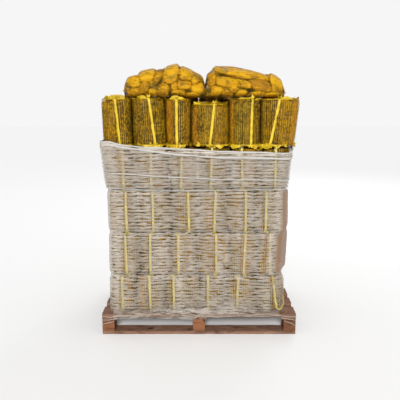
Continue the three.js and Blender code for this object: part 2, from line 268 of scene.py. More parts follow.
class Value:
    """A socket of a material's tree. Sums and products of values add Math nodes."""

    def __init__(self, tree, socket=None):
        self.tree, self.socket = tree, socket

    def node(self, kind, settings=None, inputs=None, output=0):
        """Adds a node: its settings first, then its sockets' values or links."""
        made = self.tree.nodes.new(kind)
        for name, value in (settings or {}).items():
            if name == "stops":
                self.set_stops(made.color_ramp.elements, value)
            else:
                setattr(made, name, value)
        for name, value in (inputs or {}).items():
            if isinstance(value, Value):
                self.tree.links.new(value.socket, made.inputs[name])
            else:
                made.inputs[name].default_value = value
        return Value(self.tree, made.outputs[output] if made.outputs else None)

    @staticmethod
    def set_stops(elements, stops):
        while len(elements) < len(stops):
            elements.new(0.5)
        for element, (place, shade) in zip(elements, stops):
            element.position = place
            element.color = (*shade, 1.0)

    def math(self, operation, left, right):
        return self.node("ShaderNodeMath", {"operation": operation}, {0: left, 1: right})

    def __add__(self, other):
        return self.math("ADD", self, other)

    def __sub__(self, other):
        return self.math("SUBTRACT", self, other)

    def __rsub__(self, other):
        return self.math("SUBTRACT", other, self)

    def __mul__(self, other):
        return self.math("MULTIPLY", self, other)

    __radd__ = __add__
    __rmul__ = __mul__

    def rise(self, low, high):
        """0 below low, 1 above high, smooth between."""
        return self.node(
            "ShaderNodeMapRange",
            {"interpolation_type": "SMOOTHSTEP"},
            {"Value": self, "From Min": low, "From Max": high},
        )

    def mix(self, low, high):
        """A colour between two, by this value."""
        shades = {
            socket: shade if isinstance(shade, Value) else (*shade, 1.0)
            for socket, shade in ((6, low), (7, high))
        }
        return self.node("ShaderNodeMix", {"data_type": "RGBA"}, {0: self, **shades}, 2)

    def limit(self):
        return self.node("ShaderNodeClamp", None, {"Value": self})

    def ramp(self, stops):
        return self.node("ShaderNodeValToRGB", {"stops": stops}, {"Fac": self})

    def scaled(self, scale):
        return self.node("ShaderNodeMapping", None, {"Vector": self, "Scale": scale})

    def noise(self, scale, detail=3.0, distortion=0.0):
        return self.node(
            "ShaderNodeTexNoise",
            None,
            {"Vector": self, "Scale": scale, "Detail": detail, "Distortion": distortion},
        )

    def bump(self, distance, strength=1.0):
        return self.node(
            "ShaderNodeBump", None, {"Height": self, "Distance": distance, "Strength": strength}
        )


def new_material(name):
    """An empty material and the start of its node tree."""
    made = bpy.data.materials.new(name)
    made.use_nodes = True
    made.node_tree.nodes.clear()
    return made, Value(made.node_tree)


def set_surface(start, sockets):
    """Ends a material with a Principled shader whose sockets have these values."""
    shader = start.node("ShaderNodeBsdfPrincipled", None, sockets)
    start.node("ShaderNodeOutputMaterial", None, {"Surface": shader})


def place(start):
    return start.node("ShaderNodeTexCoord", output="Object")


def attribute(start, name, output="Fac"):
    return start.node("ShaderNodeAttribute", {"attribute_name": name}, output=output)


def times(shade, share):
    """A shade made darker or paler."""
    return [share * part for part in shade]


def sawn_wood(name, dark, pale, along):
    """Rough sawn pallet wood with its grain along one axis, scuffed and knotted."""
    made, start = new_material(name)
    spot = place(start)
    drawn = [1.0, 1.0, 1.0]
    drawn[along] = 0.06
    fibres = spot.scaled(drawn).noise(260.0, 4.0)
    bands = spot.scaled(drawn).noise(45.0, 3.0, 0.6)
    patches = spot.noise(9.0, 4.0)
    scuffs = patches.rise(0.5, 0.72) * fibres.rise(0.35, 0.65)
    knots = spot.scaled([0.5 if axis == along else 1.0 for axis in range(3)]).noise(23.0, 1.0)
    shade = (0.55 * bands + 0.45 * fibres).ramp(
        [(0.3, times(dark, 0.45)), (0.52, dark), (0.78, times(dark, 1.25))]
    )
    worn = scuffs.mix(shade, pale)
    dirt = spot.scaled([0.4 if axis == along else 1.0 for axis in range(3)]).noise(38.0, 5.0, 0.8)
    stained = (0.85 * dirt.rise(0.5, 0.72)).mix(worn, times(dark, 0.3))
    knotted = knots.rise(0.7, 0.76).mix(stained, times(dark, 0.22))
    saw = spot.scaled([1.0 if axis == along else 0.2 for axis in range(3)]).noise(330.0, 1.0)
    set_surface(
        start,
        {
            "Base Color": knotted,
            "Roughness": 0.7 + 0.25 * fibres,
            "Specular IOR Level": 0.25,
            "Normal": (fibres + 0.5 * bands + 0.3 * saw).bump(0.0016, 0.8),
        },
    )
    return made


def nail_steel():
    made, start = new_material("nail_steel")
    rust = place(start).noise(600.0, 4.0)
    set_surface(
        start,
        {
            "Base Color": rust.rise(0.4, 0.62).mix((0.25, 0.24, 0.23), (0.16, 0.06, 0.025)),
            "Roughness": 0.4 + 0.4 * rust,
            "Metallic": 1.0 - rust.rise(0.4, 0.62),
        },
    )
    return made


def log_wood(name, dark, olive, middle, orange, pale, bark):
    """Split wood: drawn-out fibres on the sides, rings on the cut ends, bark on the round side."""
    made, start = new_material(name)
    grain = attribute(start, "grain", "Vector")
    tone = attribute(start, "tone")
    cut = attribute(start, "cut")
    bark_side = attribute(start, "bark")
    drawn = grain.scaled((1.0, 1.0, 0.05))
    fibres = drawn.noise(380.0, 4.0)
    streaks = drawn.noise(70.0, 3.0, 0.8)
    stains = grain.noise(28.0, 4.0)
    mixed = 0.8 * tone + 0.24 * streaks + 0.2 * fibres + 0.18 * stains - 0.22
    wood = mixed.ramp([(0.02, dark), (0.26, olive), (0.48, middle), (0.72, orange), (0.98, pale)])
    flat = grain.scaled((1.0, 1.0, 0.0))
    away = start.node("ShaderNodeVectorMath", {"operation": "LENGTH"}, {0: flat}, "Value")
    wander = 0.004 * grain.noise(60.0, 2.0)
    rings = start.math("SINE", (away + wander) * 2000.0, 0.0)
    end_shade = (0.5 + 0.22 * rings + 0.55 * (tone - 0.5)).ramp(
        [(0.1, middle), (0.55, pale), (0.95, [min(1.0, 1.3 * part) for part in pale])]
    )
    plates = grain.scaled((1.0, 1.0, 0.35)).noise(130.0, 5.0, 1.2)
    rough_bark = plates.ramp(
        [(0.3, times(bark, 0.35)), (0.55, bark), (0.8, times(bark, 2.6))]
    )
    shade = bark_side.mix(cut.mix(wood, end_shade), rough_bark)
    relief = 0.55 * fibres + 0.6 * streaks + bark_side * plates * 2.2
    set_surface(
        start,
        {
            "Base Color": shade,
            "Roughness": 0.68 + 0.3 * fibres,
            "Specular IOR Level": 0.15,
            "Normal": relief.bump(0.0022, 0.9),
        },
    )
    return made


def wood_shades(share=(1.0, 1.0, 1.0)):
    """The shades of the logs, each channel multiplied by its share."""
    logs = settings().logs
    shades = (logs.dark, logs.olive, logs.middle, logs.orange, logs.pale, logs.bark)
    return [[min(1.0, part * by) for part, by in zip(shade, share)] for shade in shades]


def net_thread(name, yellow, deep, sunk=None):
    """Knitted plastic thread, darker in random patches; sunk, where given, is a painted shade for the net
    deep between two logs, and it also darkens some random patches.
    """
    made, start = new_material(name)
    spot = place(start)
    patches = spot.noise(17.0, 3.0)
    flecks = spot.noise(72.0, 3.0)
    mixed = 0.3 * patches + 0.7 * flecks
    if sunk:
        streaks = spot.scaled((38.0, 38.0, 170.0)).noise(1.0, 3.0, 0.6)
        mixed = 0.7 * mixed + 0.7 * streaks + 0.4 * attribute(start, "tint") - 0.45
    shade = mixed.rise(0.38, 0.6).mix(deep, yellow)
    if sunk:
        # Painted shade: the net turns to the dark sunk colour where it sinks between logs, and in random
        # patches.
        shade = (attribute(start, "sink") + 0.5 * (1 - patches.rise(0.34, 0.48))).limit().mix(shade, sunk)
    set_surface(
        start,
        {
            "Base Color": shade,
            "Roughness": 0.5 + 0.25 * flecks,
            "Specular IOR Level": 0.12,
            "Normal": flecks.bump(0.0006, 0.6),
        },
    )
    return made


def seam_tape(name, yellow):
    """Woven yellow tape with its ribs across it."""
    made, start = new_material(name)
    spot = place(start)
    weave = spot.scaled((1.0, 1.0, 2.2)).noise(420.0, 2.0)
    patches = spot.noise(25.0, 3.0)
    deep = [part * share for part, share in zip(yellow, (0.72, 0.66, 0.6))]
    set_surface(
        start,
        {
            "Base Color": (0.5 * weave + 0.5 * patches).rise(0.36, 0.58).mix(deep, yellow),
            "Roughness": 0.36 + 0.2 * weave,
            "Normal": weave.bump(0.0009, 0.8),
        },
    )
    return made


def net_materials(kind, yellow, deep, tape, sunk=None):
    """The thread and the seam tape of one kind of bag."""
    return [net_thread(f"{kind}_net", yellow, deep, sunk), seam_tape(f"{kind}_seam_tape", tape)]


def stretch_film(name, tint, bright, lined, thin, thick):
    """Milky film, clear in the troughs between its ribs and white along its folds; its colour runs from
    tint in the troughs, a dark painted shade for the shaded logs seen through it, to bright on its crests
    and folds.

    lined is its colour where it lies smooth on tan card, darkened as painted shade for the shaded right
    side of the load.
    """
    made, start = new_material(name)
    wrap = start.node("ShaderNodeUVMap", {"uv_map": "wrap"})
    cover = attribute(start, "cover")
    rib = attribute(start, "rib")
    haze = wrap.scaled((9.0, 13.0, 1.0)).noise(1.0, 3.0)
    dashes = wrap.scaled((17.0, 150.0, 1.0)).noise(1.0, 3.0, 0.3)
    fine = wrap.scaled((55.0, 400.0, 1.0)).noise(1.0, 2.0)
    crackle = wrap.scaled((120.0, 170.0, 1.0)).noise(1.0, 3.0, 1.5)
    milk = 0.5 * rib + 0.34 * dashes.rise(0.36, 0.64) + 0.16 * fine.rise(0.35, 0.65)
    cloudy = milk.rise(0.32, 0.7) * 0.8 + 0.6 * (haze - 0.38)
    card = attribute(start, "smooth")
    veiled = (cover * (thin + (thick - thin) * cloudy)).limit()
    set_surface(
        start,
        {
            # Painted shade: the troughs take the dark tint, and the film on the card takes lined, a card
            # colour painted darker for shade.
            "Base Color": card.mix(milk.rise(0.3, 0.68).mix(tint, bright), lined),
            "Roughness": 0.24 + 0.3 * crackle,
            "Alpha": veiled + card * (0.9 - veiled),
            "Specular IOR Level": 0.5,
            "Normal": (dashes + 0.5 * fine + 0.5 * crackle).bump(0.0016, 0.8),
        },
    )
    return made


def rolled_film(bright):
    made, start = new_material("rolled_film")
    strands = place(start).scaled((1.0, 1.0, 6.0)).noise(140.0, 3.0)
    set_surface(
        start,
        {
            "Base Color": strands.rise(0.35, 0.65).mix(times(bright, 0.8), bright),
            "Roughness": 0.2 + 0.2 * strands,
            "Alpha": 0.7 + 0.3 * strands,
            "Normal": strands.bump(0.002, 0.8),
        },
    )
    return made


def studio_floor(shade):
    made, start = new_material("studio_floor")
    set_surface(start, {"Base Color": (*shade, 1.0), "Roughness": 0.9, "Specular IOR Level": 0.1})
    return made


# Meshes


class Heap:
    """Many small shapes gathered into one mesh: points, faces, and values on both."""

    def __init__(self):
        self.points, self.faces, self.paint, self.values, self.count = [], [], [], [], 0

    def add(self, points, faces, paint=0, on_points=None, on_faces=None):
        points = np.asarray(points, float).reshape(-1, 3)
        faces = faces.tolist() if isinstance(faces, np.ndarray) else faces
        self.points.append(points)
        self.faces += [[corner + self.count for corner in face] for face in faces]
        self.paint += [paint] * len(faces)
        self.count += len(points)
        self.values.append(((on_points or {}, len(points)), (on_faces or {}, len(faces))))

    def make(self, name, materials):
        """The object of the whole heap, at the origin. A value left out of a shape is 0 there."""
        mesh = bpy.data.meshes.new(name)
        mesh.from_pydata(np.concatenate(self.points).tolist(), [], self.faces)
        for material in materials:
            mesh.materials.append(material)
        mesh.polygons.foreach_set("material_index", self.paint)
        for which, domain in enumerate(("POINT", "FACE")):
            shapes = [values[which] for values in self.values]
            for label in sorted({label for given, _ in shapes for label in given}):
                parts = [self.spread_out(given.get(label, 0.0), size) for given, size in shapes]
                values = np.concatenate(parts)
                vector = values.ndim == 2
                layer = mesh.attributes.new(label, "FLOAT_VECTOR" if vector else "FLOAT", domain)
                layer.data.foreach_set("vector" if vector else "value", values.ravel())
        mesh.update()
        made = bpy.data.objects.new(name, mesh)
        bpy.context.scene.collection.objects.link(made)
        return made

    @staticmethod
    def spread_out(values, size):
        values = np.asarray(values, float)
        return np.full(size, float(values)) if values.ndim == 0 else values


def dress(piece, slot, *nodes):
    """Puts a finished piece on the load, in place of the solids that it stands for."""
    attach(piece, BODY)
    if nodes:
        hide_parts(*nodes)
    return piece


def only(piece):
    """Makes one object the only one selected, and active."""
    bpy.ops.object.select_all(action="DESELECT")
    piece.select_set(True)
    bpy.context.view_layer.objects.active = piece


def smooth(piece, degrees):
    only(piece)
    bpy.ops.object.shade_smooth_by_angle(angle=math.radians(degrees))
    piece.select_set(False)


def smooth_all(piece):
    """Shades a soft piece smooth all over."""
    only(piece)
    bpy.ops.object.shade_smooth()
    return piece


def make_logs(filling, name, wood, slot):
    """The piece of a heap of logs, in place of the solid of that name."""
    piece = filling.make(f"{name}_logs", [wood])
    smooth(piece, 32)
    dress(piece, slot, name)


def corner_points(piece):
    """The point that each corner of each face is at."""
    corners = np.empty(len(piece.data.loops), int)
    piece.data.loops.foreach_get("vertex_index", corners)
    return corners


def set_wrap_map(piece, places):
    """The film's UV map, from the place in metres of each corner of each face."""
    piece.data.uv_layers.new(name="wrap").data.foreach_set("uv", places.ravel())


def node_points(name):
    return np.array([vertex.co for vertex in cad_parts[name].data.vertices], float)


def unit(vectors):
    return vectors / np.maximum(np.linalg.norm(vectors, axis=-1, keepdims=True), 1e-9)


def grid_faces(rows, columns, closed):
    """Quads of a grid of points, row by row; closed joins the last column to the first."""
    across = columns if closed else columns - 1
    row, column = np.meshgrid(np.arange(rows - 1), np.arange(across), indexing="ij")
    here, beside = row * columns + column, row * columns + (column + 1) % columns
    return np.stack([here, beside, beside + columns, here + columns], -1).reshape(-1, 4)


def eased(knots, at):
    """Values at places along knots, smooth from each knot to the next."""
    low = np.minimum(at.astype(int), len(knots) - 2)
    share = (at - low).reshape(-1, *[1] * (knots.ndim - 1))
    share = share * share * (3 - 2 * share)
    return knots[low] * (1 - share) + knots[low + 1] * share


def wavy(count, cells, rng, closed=True):
    """Smooth random values from -1 to 1 at count places, with that many waves among them."""
    knots = rng.uniform(-1, 1, cells + 1)
    if closed:
        knots[-1] = knots[0]
    return eased(knots, np.linspace(0, cells, count, endpoint=not closed))


def wavy_sheet(rows, columns, cells_up, cells_round, rng):
    """The same over a grid that closes on itself sideways."""
    lines = np.stack([wavy(columns, cells_round, rng) for _ in range(cells_up + 1)])
    return eased(lines, np.linspace(0, cells_up, rows))


# Logs: the section of a bag is split into cells, and each cell is swept into a log


def hull(points):
    """The convex outline of points in a plane, anticlockwise."""
    ordered = sorted(map(tuple, points))

    def chain(run):
        kept = []
        for x, y in run:
            while len(kept) > 1:
                (ax, ay), (bx, by) = kept[-2:]
                if (bx - ax) * (y - ay) - (by - ay) * (x - ax) > 0:
                    break
                kept.pop()
            kept.append((x, y))
        return kept[:-1]

    return np.array(chain(ordered) + chain(ordered[::-1]))


def inwards(outline):
    """The unit normals of a convex outline's edges, pointing in."""
    run = np.roll(outline, -1, 0) - outline
    return unit(np.stack([-run[:, 1], run[:, 0]], -1))


def depth_inside(points, outline):
    """How deep points lie inside a convex outline; negative outside."""
    offsets = points[..., None, :] - outline
    return (offsets * inwards(outline)).sum(-1).min(-1)


def cut_off(outline, point, away):
    """What is left of a convex outline once all beyond a line is cut off."""
    beyond = (outline - point) @ away
    kept = []
    for i, (here, side) in enumerate(zip(outline, beyond)):
        after = (i + 1) % len(outline)
        if side <= 0:
            kept.append(here)
        if side * beyond[after] < 0:
            kept.append(here + (outline[after] - here) * side / (side - beyond[after]))
    return np.array(kept)


def inset(outline, gap):
    smaller = outline
    for corner, normal in zip(outline, inwards(outline)):
        if len(smaller) > 2:
            smaller = cut_off(smaller, corner + normal * gap, -normal)
    return smaller


def soften(outline, size):
    """Breaks each corner of an outline with a short straight."""
    to_last = np.roll(outline, 1, 0) - outline
    to_next = np.roll(outline, -1, 0) - outline
    ends = []
    for run in (to_last, to_next):
        reach = np.linalg.norm(run, axis=1, keepdims=True)
        ends.append(outline + run * np.minimum(size / np.maximum(reach, 1e-9), 0.34))
    return np.stack(ends, 1).reshape(-1, 2)


def bag_section(half_x, half_y, rng, corners=11, roundness=2.4):
    """The many-sided outline that packed logs give a net bag."""
    turn = (np.arange(corners) + rng.uniform(-0.32, 0.32, corners)) * 2 * math.pi / corners
    cosine, sine = np.cos(turn), np.sin(turn)
    reach = (abs(cosine) ** roundness + abs(sine) ** roundness) ** (-1 / roundness)
    reach *= rng.uniform(0.95, 1.0, corners)
    outline = np.stack([cosine * reach, sine * reach], -1)
    outline = (outline - outline.min(0)) / np.ptp(outline, axis=0) * 2 - 1
    return hull(outline * (half_x, half_y))


def split_cells(outline, count, rng, evened=3):
    """Splits a convex section into cells of about one size, and gives their middles too."""
    low, high = outline.min(0), outline.max(0)
    middles = []
    while len(middles) < count:
        spot = rng.uniform(low, high)
        if depth_inside(spot, outline) > 0:
            middles.append(spot)
    middles = np.array(middles)
    for _ in range(evened):
        cells = []
        for i, own in enumerate(middles):
            cell = outline
            for j, other in enumerate(middles):
                if i != j:
                    cell = cut_off(cell, (own + other) / 2, other - own)
            cells.append(cell)
        used = middles
        middles = 0.4 * middles + 0.6 * np.array([cell.mean(0) for cell in cells])
    return cells, used


def add_log(heap, section, outline, spread, ends, rng, tone, rings=6, gap=None, slope=None):
    """One log: a section swept between its ends, rough along its sides and not cut quite square.

    spread(x, y, along) puts points of the section in the load.
    """
    logs = settings().logs
    section = inset(section, (gap or logs.gap) / 2)
    if len(section) < 3:
        return
    section = soften(section, logs.soften)
    sides = len(section)
    middle = section.mean(0)
    share = np.linspace(0, 1, rings)[:, None]
    rough = 1 + rng.normal(0, 0.012, sides) + rng.normal(0, 0.008, (rings, sides))
    swept = middle + (section - middle) * rough[..., None]
    slope = rng.normal(0, 0.07, (2, 2)) if slope is None else slope
    leaning = (section - middle) @ slope.T
    along = ends[0] + (ends[1] - ends[0]) * share + leaning[:, 0] * (1 - share) + leaning[:, 1] * share
    swept = np.concatenate([swept.reshape(-1, 2), middle[None], middle[None]])
    along = np.r_[along.ravel(), ends]
    points = spread(swept[None, :, 0], swept[None, :, 1], along[None])
    pith = middle + rng.normal(0, 0.03, 2)
    grain = np.concatenate([swept - pith, along[:, None] + rng.uniform(0, 9)], -1)
    walls = grid_faces(rings, sides, True).tolist()
    last = (rings - 1) * sides
    caps = []
    for i in range(sides):
        after = (i + 1) % sides
        caps += [[after, i, rings * sides], [last + i, last + after, rings * sides + 1]]
    halfway = (section + np.roll(section, -1, 0)) / 2
    on_rim = depth_inside(halfway, outline) < logs.gap
    barked = np.tile(on_rim * float(rng.random() < 0.45), rings - 1)
    heap.add(
        points,
        walls + caps,
        on_points={"grain": grain, "tone": tone},
        on_faces={
            "cut": np.r_[np.zeros(len(walls)), np.ones(len(caps))],
            "bark": np.r_[barked, np.zeros(len(caps))],
        },
    )


# Nets: upright threads and the zigzag between them, on rings of points round a bag


def resample(outline, count):
    """Points evenly spaced along a closed outline."""
    closed = np.concatenate([outline, outline[:1]])
    run = np.r_[0, np.cumsum(np.linalg.norm(np.diff(closed, axis=0), axis=1))]
    at = np.linspace(0, run[-1], count, endpoint=False)
    return np.stack([np.interp(at, run, closed[:, axis]) for axis in range(2)], -1)


def add_net(heap, rings, width, rng, keep=None, values=None):
    """Threads along the columns of rings, shape (rings, threads, 3), and a zigzag across them.

    values holds what is known of each point of the rings, by name.
    """
    count, threads = rings.shape[:2]
    beside = unit(np.roll(rings, -1, 1) - np.roll(rings, 1, 1))
    along = unit(np.gradient(rings, axis=0))
    out = np.cross(beside, along)
    slack = wavy_sheet(count, threads, max(2, count // 5), threads // 2, rng)[..., None] * 0.0034
    columns = np.arange(threads) if keep is None else np.flatnonzero(keep)
    upright = rings + beside * slack + out * 0.0006
    half = beside * width / 2
    strip = np.stack([upright - half, upright + half], 2)[:, columns]
    across = (columns[None] + np.arange(count)[:, None] % 2) % threads
    row = np.arange(count)[:, None]
    zigzag = rings[row, across] + out[row, across] * 0.0002
    half = along[row, across] * width * 0.4
    strip_two = np.stack([zigzag + half, zigzag - half], 2)
    kept = len(columns)
    for ribbon, at in ((strip, np.broadcast_to(columns, across.shape)), (strip_two, across)):
        known = {name: np.repeat(each[row, at].ravel(), 2) for name, each in (values or {}).items()}
        index = np.arange(count * kept * 2).reshape(count, kept, 2)
        faces = np.stack(
            [index[:-1, :, 0], index[:-1, :, 1], index[1:, :, 1], index[1:, :, 0]], -1
        )
        heap.add(ribbon, faces.reshape(-1, 4), on_points=known)


def add_tape(heap, middle, beside, out, width, rng, paint=1):
    """A puckered seam tape along a line of points."""
    count = len(middle)
    reach = width / 2 * (1 + 0.16 * wavy(count, max(2, count // 2), rng, False))[:, None]
    lift = [0.0022 + 0.0016 * wavy(count, max(2, count // 2), rng, False)[:, None] for _ in range(3)]
    rows = [
        middle - beside * reach + out * lift[0],
        middle + out * (lift[1] + 0.0012),
        middle + beside * reach + out * lift[2],
    ]
    heap.add(np.stack(rows, 1), grid_faces(count, 3, False), paint)


def add_frill(heap, loop, out, rise, flare, rng, paint=1):
    """The gathered edge of a net, standing up or hanging in waves from a closed loop of points."""
    count = len(loop)
    swell = np.clip(0.35 + 0.85 * wavy(count, 11, rng), 0.03, 1.0)[:, None]
    wave = (1 + 0.9 * wavy(count, count // 4, rng))[:, None]
    rows = [
        loop - out * 0.002,
        loop + UP * rise * 0.55 * swell + out * flare * 0.5 * swell * wave,
        loop + UP * rise * swell * wave + out * flare * swell,
    ]
    heap.add(np.stack(rows), grid_faces(3, count, True), paint)


def add_cord(heap, path, out, reach, closed, sides=7):
    """A cord along points, with its thickness at each."""
    along = np.roll(path, -1, 0) - np.roll(path, 1, 0) if closed else np.gradient(path, axis=0)
    beside = unit(np.cross(unit(along), out))
    turn = np.linspace(0, 2 * math.pi, sides, endpoint=False)
    around = np.stack(
        [path + reach[:, None] * (out * math.cos(a) + beside * math.sin(a)) for a in turn]
    )
    count = len(path)
    heap.add(around, grid_faces(sides + 1, count, closed) % (sides * count))


def add_tuft(heap, spot, towards, size, rng, petals=7, paint=1):
    """A bunch of pulled-out net, as small bent leaves from one spot."""
    towards = unit(np.asarray(towards, float))
    side = unit(np.cross(towards, (0.3, 0.8, 0.5)))
    other = np.cross(towards, side)
    for turn in rng.uniform(0, 2 * math.pi, petals):
        round_it = side * math.cos(turn) + other * math.sin(turn)
        beside = np.cross(towards, round_it)
        reach = size * rng.uniform(0.6, 1.1)
        base = spot + round_it * size * 0.12
        knee = base + towards * reach * 0.5 + round_it * size * 0.28
        tip = base + towards * reach * rng.uniform(0.6, 1.0) + round_it * size * rng.uniform(0.3, 0.7)
        broad = beside * size * rng.uniform(0.14, 0.26)
        points = [base - broad * 0.6, base + broad * 0.6, knee + broad, knee - broad, tip]
        heap.add(points, [[0, 1, 2, 3], [3, 2, 4]], paint)


class StandingBag:
    """A bag that stands upright: where its section is at each height, and its logs and net."""

    # How far from its ends a bag starts to draw in
    TUCK_REACH = 0.022

    def __init__(self, feet, shoulders, low, high, rng, roundness, tuck):
        self.feet, self.shoulders = np.asarray(feet, float), np.asarray(shoulders, float)
        self.low, self.high, self.rng, self.tuck = low, high, rng, tuck
        self.half = (self.feet[1] - self.feet[0] + self.shoulders[1] - self.shoulders[0]) / 4
        self.section = bag_section(*self.half, rng, 12, roundness)

    def spread(self, x, y, height):
        share = (height - self.low) / (self.high - self.low)
        share = np.clip(share, 0, 1)[..., None]
        spans = self.feet[:, None, None] * (1 - share) + self.shoulders[:, None, None] * share
        middle, half = (spans[0] + spans[1]) / 2, (spans[1] - spans[0]) / 2
        from_end = np.minimum(height - self.low, self.high - height)[..., None]
        half = half - self.tuck * np.exp(-((from_end / self.TUCK_REACH) ** 2))
        flat = middle + np.stack([x, y], -1) / self.half * half
        return np.concatenate([flat, np.broadcast_to(height, x.shape)[..., None]], -1)

    def add_logs(self, heap, count, top_gap, rings=6):
        cells, _ = split_cells(self.section, count, self.rng)
        for cell in cells:
            ends = (
                self.low + self.rng.uniform(0.003, 0.012),
                self.high - self.rng.uniform(*top_gap),
            )
            tone = self.rng.uniform(0, 1)
            add_log(heap, cell, self.section, self.spread, ends, self.rng, tone, rings)

    def loop(self, count, scale, height, proud=0.0015):
        """A closed loop of points round the bag."""
        outline = resample(self.section, count) * scale
        outline = outline + unit(outline) * proud
        return self.spread(outline[:, 0][None], outline[:, 1][None], np.full((1, count), height))[0]

    def rings(self, pitch, closed_ends=True):
        around = np.linalg.norm(np.diff(self.section, axis=0, append=self.section[:1]), axis=1).sum()
        threads = int(around / pitch)
        levels = np.linspace(self.low + 0.012, self.high - 0.010, int((self.high - self.low) / pitch))
        steps = [(1.0, level) for level in levels]
        if closed_ends:
            foot = [(0.3, 0.001), (0.7, 0.001), (0.97, 0.003)]
            top = [(0.97, -0.002), (0.82, 0.001), (0.58, 0.002), (0.34, 0.004), (0.12, 0.010)]
            steps = (
                [(scale, self.low + lift) for scale, lift in foot]
                + steps
                + [(scale, self.high + lift) for scale, lift in top]
            )
        return np.stack([self.loop(threads, scale, level) for scale, level in steps])

    def seam(self, across, heights, front):
        """A line up the face of the bag: the points, the way across the line, and the way out."""
        outline = resample(self.section, 400)
        side = -1.0 if front else 1.0
        line = []
        for x, height in zip(across, heights):
            ring = self.spread(outline[:, 0][None], outline[:, 1][None], np.full((1, 400), height))[0]
            face = ring[(ring[:, 1] - ring[:, 1].mean()) * side > 0]
            face = face[np.argsort(face[:, 0])]
            line.append((x, np.interp(x, face[:, 0], face[:, 1]), height))
        line = np.array(line)
        out = np.broadcast_to((0.0, side, 0.0), line.shape)
        return line, unit(np.cross(np.gradient(line, axis=0), out)), out


def spans_of(name):
    """(left, front) and (right, back) of a node, in its lower and in its upper part."""
    points = node_points(name)
    low, high = points[:, 2].min(), points[:, 2].max()
    parts = []
    for part in (points[:, 2] < low + 0.4 * (high - low), points[:, 2] > high - 0.4 * (high - low)):
        flat = points[part][:, :2]
        parts.append((flat.min(0), flat.max(0)))
    return parts[0], parts[1], low, high


# Operators


class FIREWOOD_OT_pallet(bpy.types.Operator):
    """Make the pallet's boards and blocks from rough sawn wood, with its nails"""

    bl_idname = "firewood.pallet"
    bl_label = "Pallet"

    def execute(self, context):
        pallet = settings().pallet
        dark, pale = list(pallet.board_colour), list(pallet.board_pale)
        along_x = sawn_wood("board_wood_along_x", dark, pale, 0)
        along_y = sawn_wood("board_wood_along_y", times(dark, 0.85), pale, 1)
        block = list(pallet.block_colour)
        # Each side's blocks get their own copy of the block wood, the left ones at 0.9 and the right ones
        # at 0.62 of its colour: painted shade for how the light falls across the pallet.
        block_woods_painted_shade = {
            side: sawn_wood(f"block_wood_{side}", times(block, share), block, 0)
            for side, share in (("left", 0.9), ("centre", 1.0), ("right", 0.62))
        }
        steel = nail_steel()
        rows, sides = ("front", "middle", "back"), ("left", "centre", "right")
        boards = [f"deck_board_{i + 1}" for i in range(5)]
        boards += [f"bottom_board_{row}" for row in rows]
        stringers = [f"stringer_{side}" for side in sides]
        blocks = [f"block_{row}_{side}" for row in rows for side in sides]
        crossings = [sum(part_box(name), Vector()).x / 2 for name in stringers]
        for seed, name in enumerate(boards):
            piece = self.board(name, along_x, 0, seed)
            if name.startswith("deck"):
                self.nail(piece, name, crossings, steel)
            dress(piece, "pallet_boards", name)
        for seed, name in enumerate(stringers):
            dress(self.board(name, along_y, 1, 20 + seed), "pallet_boards", name)
        for seed, name in enumerate(blocks):
            wood = block_woods_painted_shade[name.split("_")[-1]]
            dress(self.board(name, wood, 0, 40 + seed), "pallet_blocks", name)
        return {"FINISHED"}

    def board(self, name, material, along, seed):
        """A board the size of its solid: cut along its length, warped a little, its edges worn."""
        pallet = settings().pallet
        low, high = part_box(name)
        bpy.ops.object.select_all(action="DESELECT")
        bpy.ops.mesh.primitive_cube_add(size=1, location=(low + high) / 2, scale=high - low)
        piece = bpy.context.object
        piece.name = piece.data.name = f"{name}_wood"
        bpy.ops.object.transform_apply(location=True, rotation=True, scale=True)
        long_edges = [
            abs((piece.data.vertices[a].co - piece.data.vertices[b].co)[along]) > 0.01
            for a, b in (edge.vertices for edge in piece.data.edges)
        ]
        piece.data.edges.foreach_set("select", long_edges)
        bpy.ops.object.mode_set(mode="EDIT")
        bpy.ops.mesh.select_mode(type="EDGE")
        bpy.ops.mesh.subdivide(number_cuts=max(3, int((high - low)[along] / 0.06)))
        bpy.ops.mesh.select_all(action="SELECT")
        bpy.ops.transform.vertex_random(offset=pallet.warp, uniform=0.0, normal=0.0, seed=seed)
        bpy.ops.object.mode_set(mode="OBJECT")
        worn = piece.modifiers.new("worn_edges", "BEVEL")
        worn.width, worn.segments, worn.limit_method = pallet.edge, 2, "ANGLE"
        bpy.ops.object.modifier_apply(modifier=worn.name)
        piece.data.materials.append(material)
        smooth(piece, 30)
        return piece

    def nail(self, piece, name, crossings, steel):
        """Two dished nail heads where a deck board crosses each stringer."""
        low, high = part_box(name)
        radius = settings().pallet.nail
        heads = []
        for x in crossings:
            for share in (0.25, 0.75):
                y = low.y + share * (high.y - low.y)
                bpy.ops.object.select_all(action="DESELECT")
                bpy.ops.mesh.primitive_cylinder_add(
                    vertices=12, radius=radius, depth=0.002, location=(x + 0.02 * (share - 0.5), y, high.z)
                )
                head = bpy.context.object
                bpy.ops.object.mode_set(mode="EDIT")
                bpy.ops.mesh.select_all(action="DESELECT")
                bpy.ops.object.mode_set(mode="OBJECT")
                for face in head.data.polygons:
                    face.select = face.normal.z > 0.9
                bpy.ops.object.mode_set(mode="EDIT")
                bpy.ops.mesh.inset(thickness=radius * 0.3)
                bpy.ops.transform.translate(value=(0, 0, -0.0006))
                bpy.ops.object.mode_set(mode="OBJECT")
                head.data.materials.append(steel)
                heads.append(head)
        only(piece)
        for head in heads:
            head.select_set(True)
        bpy.ops.object.join()


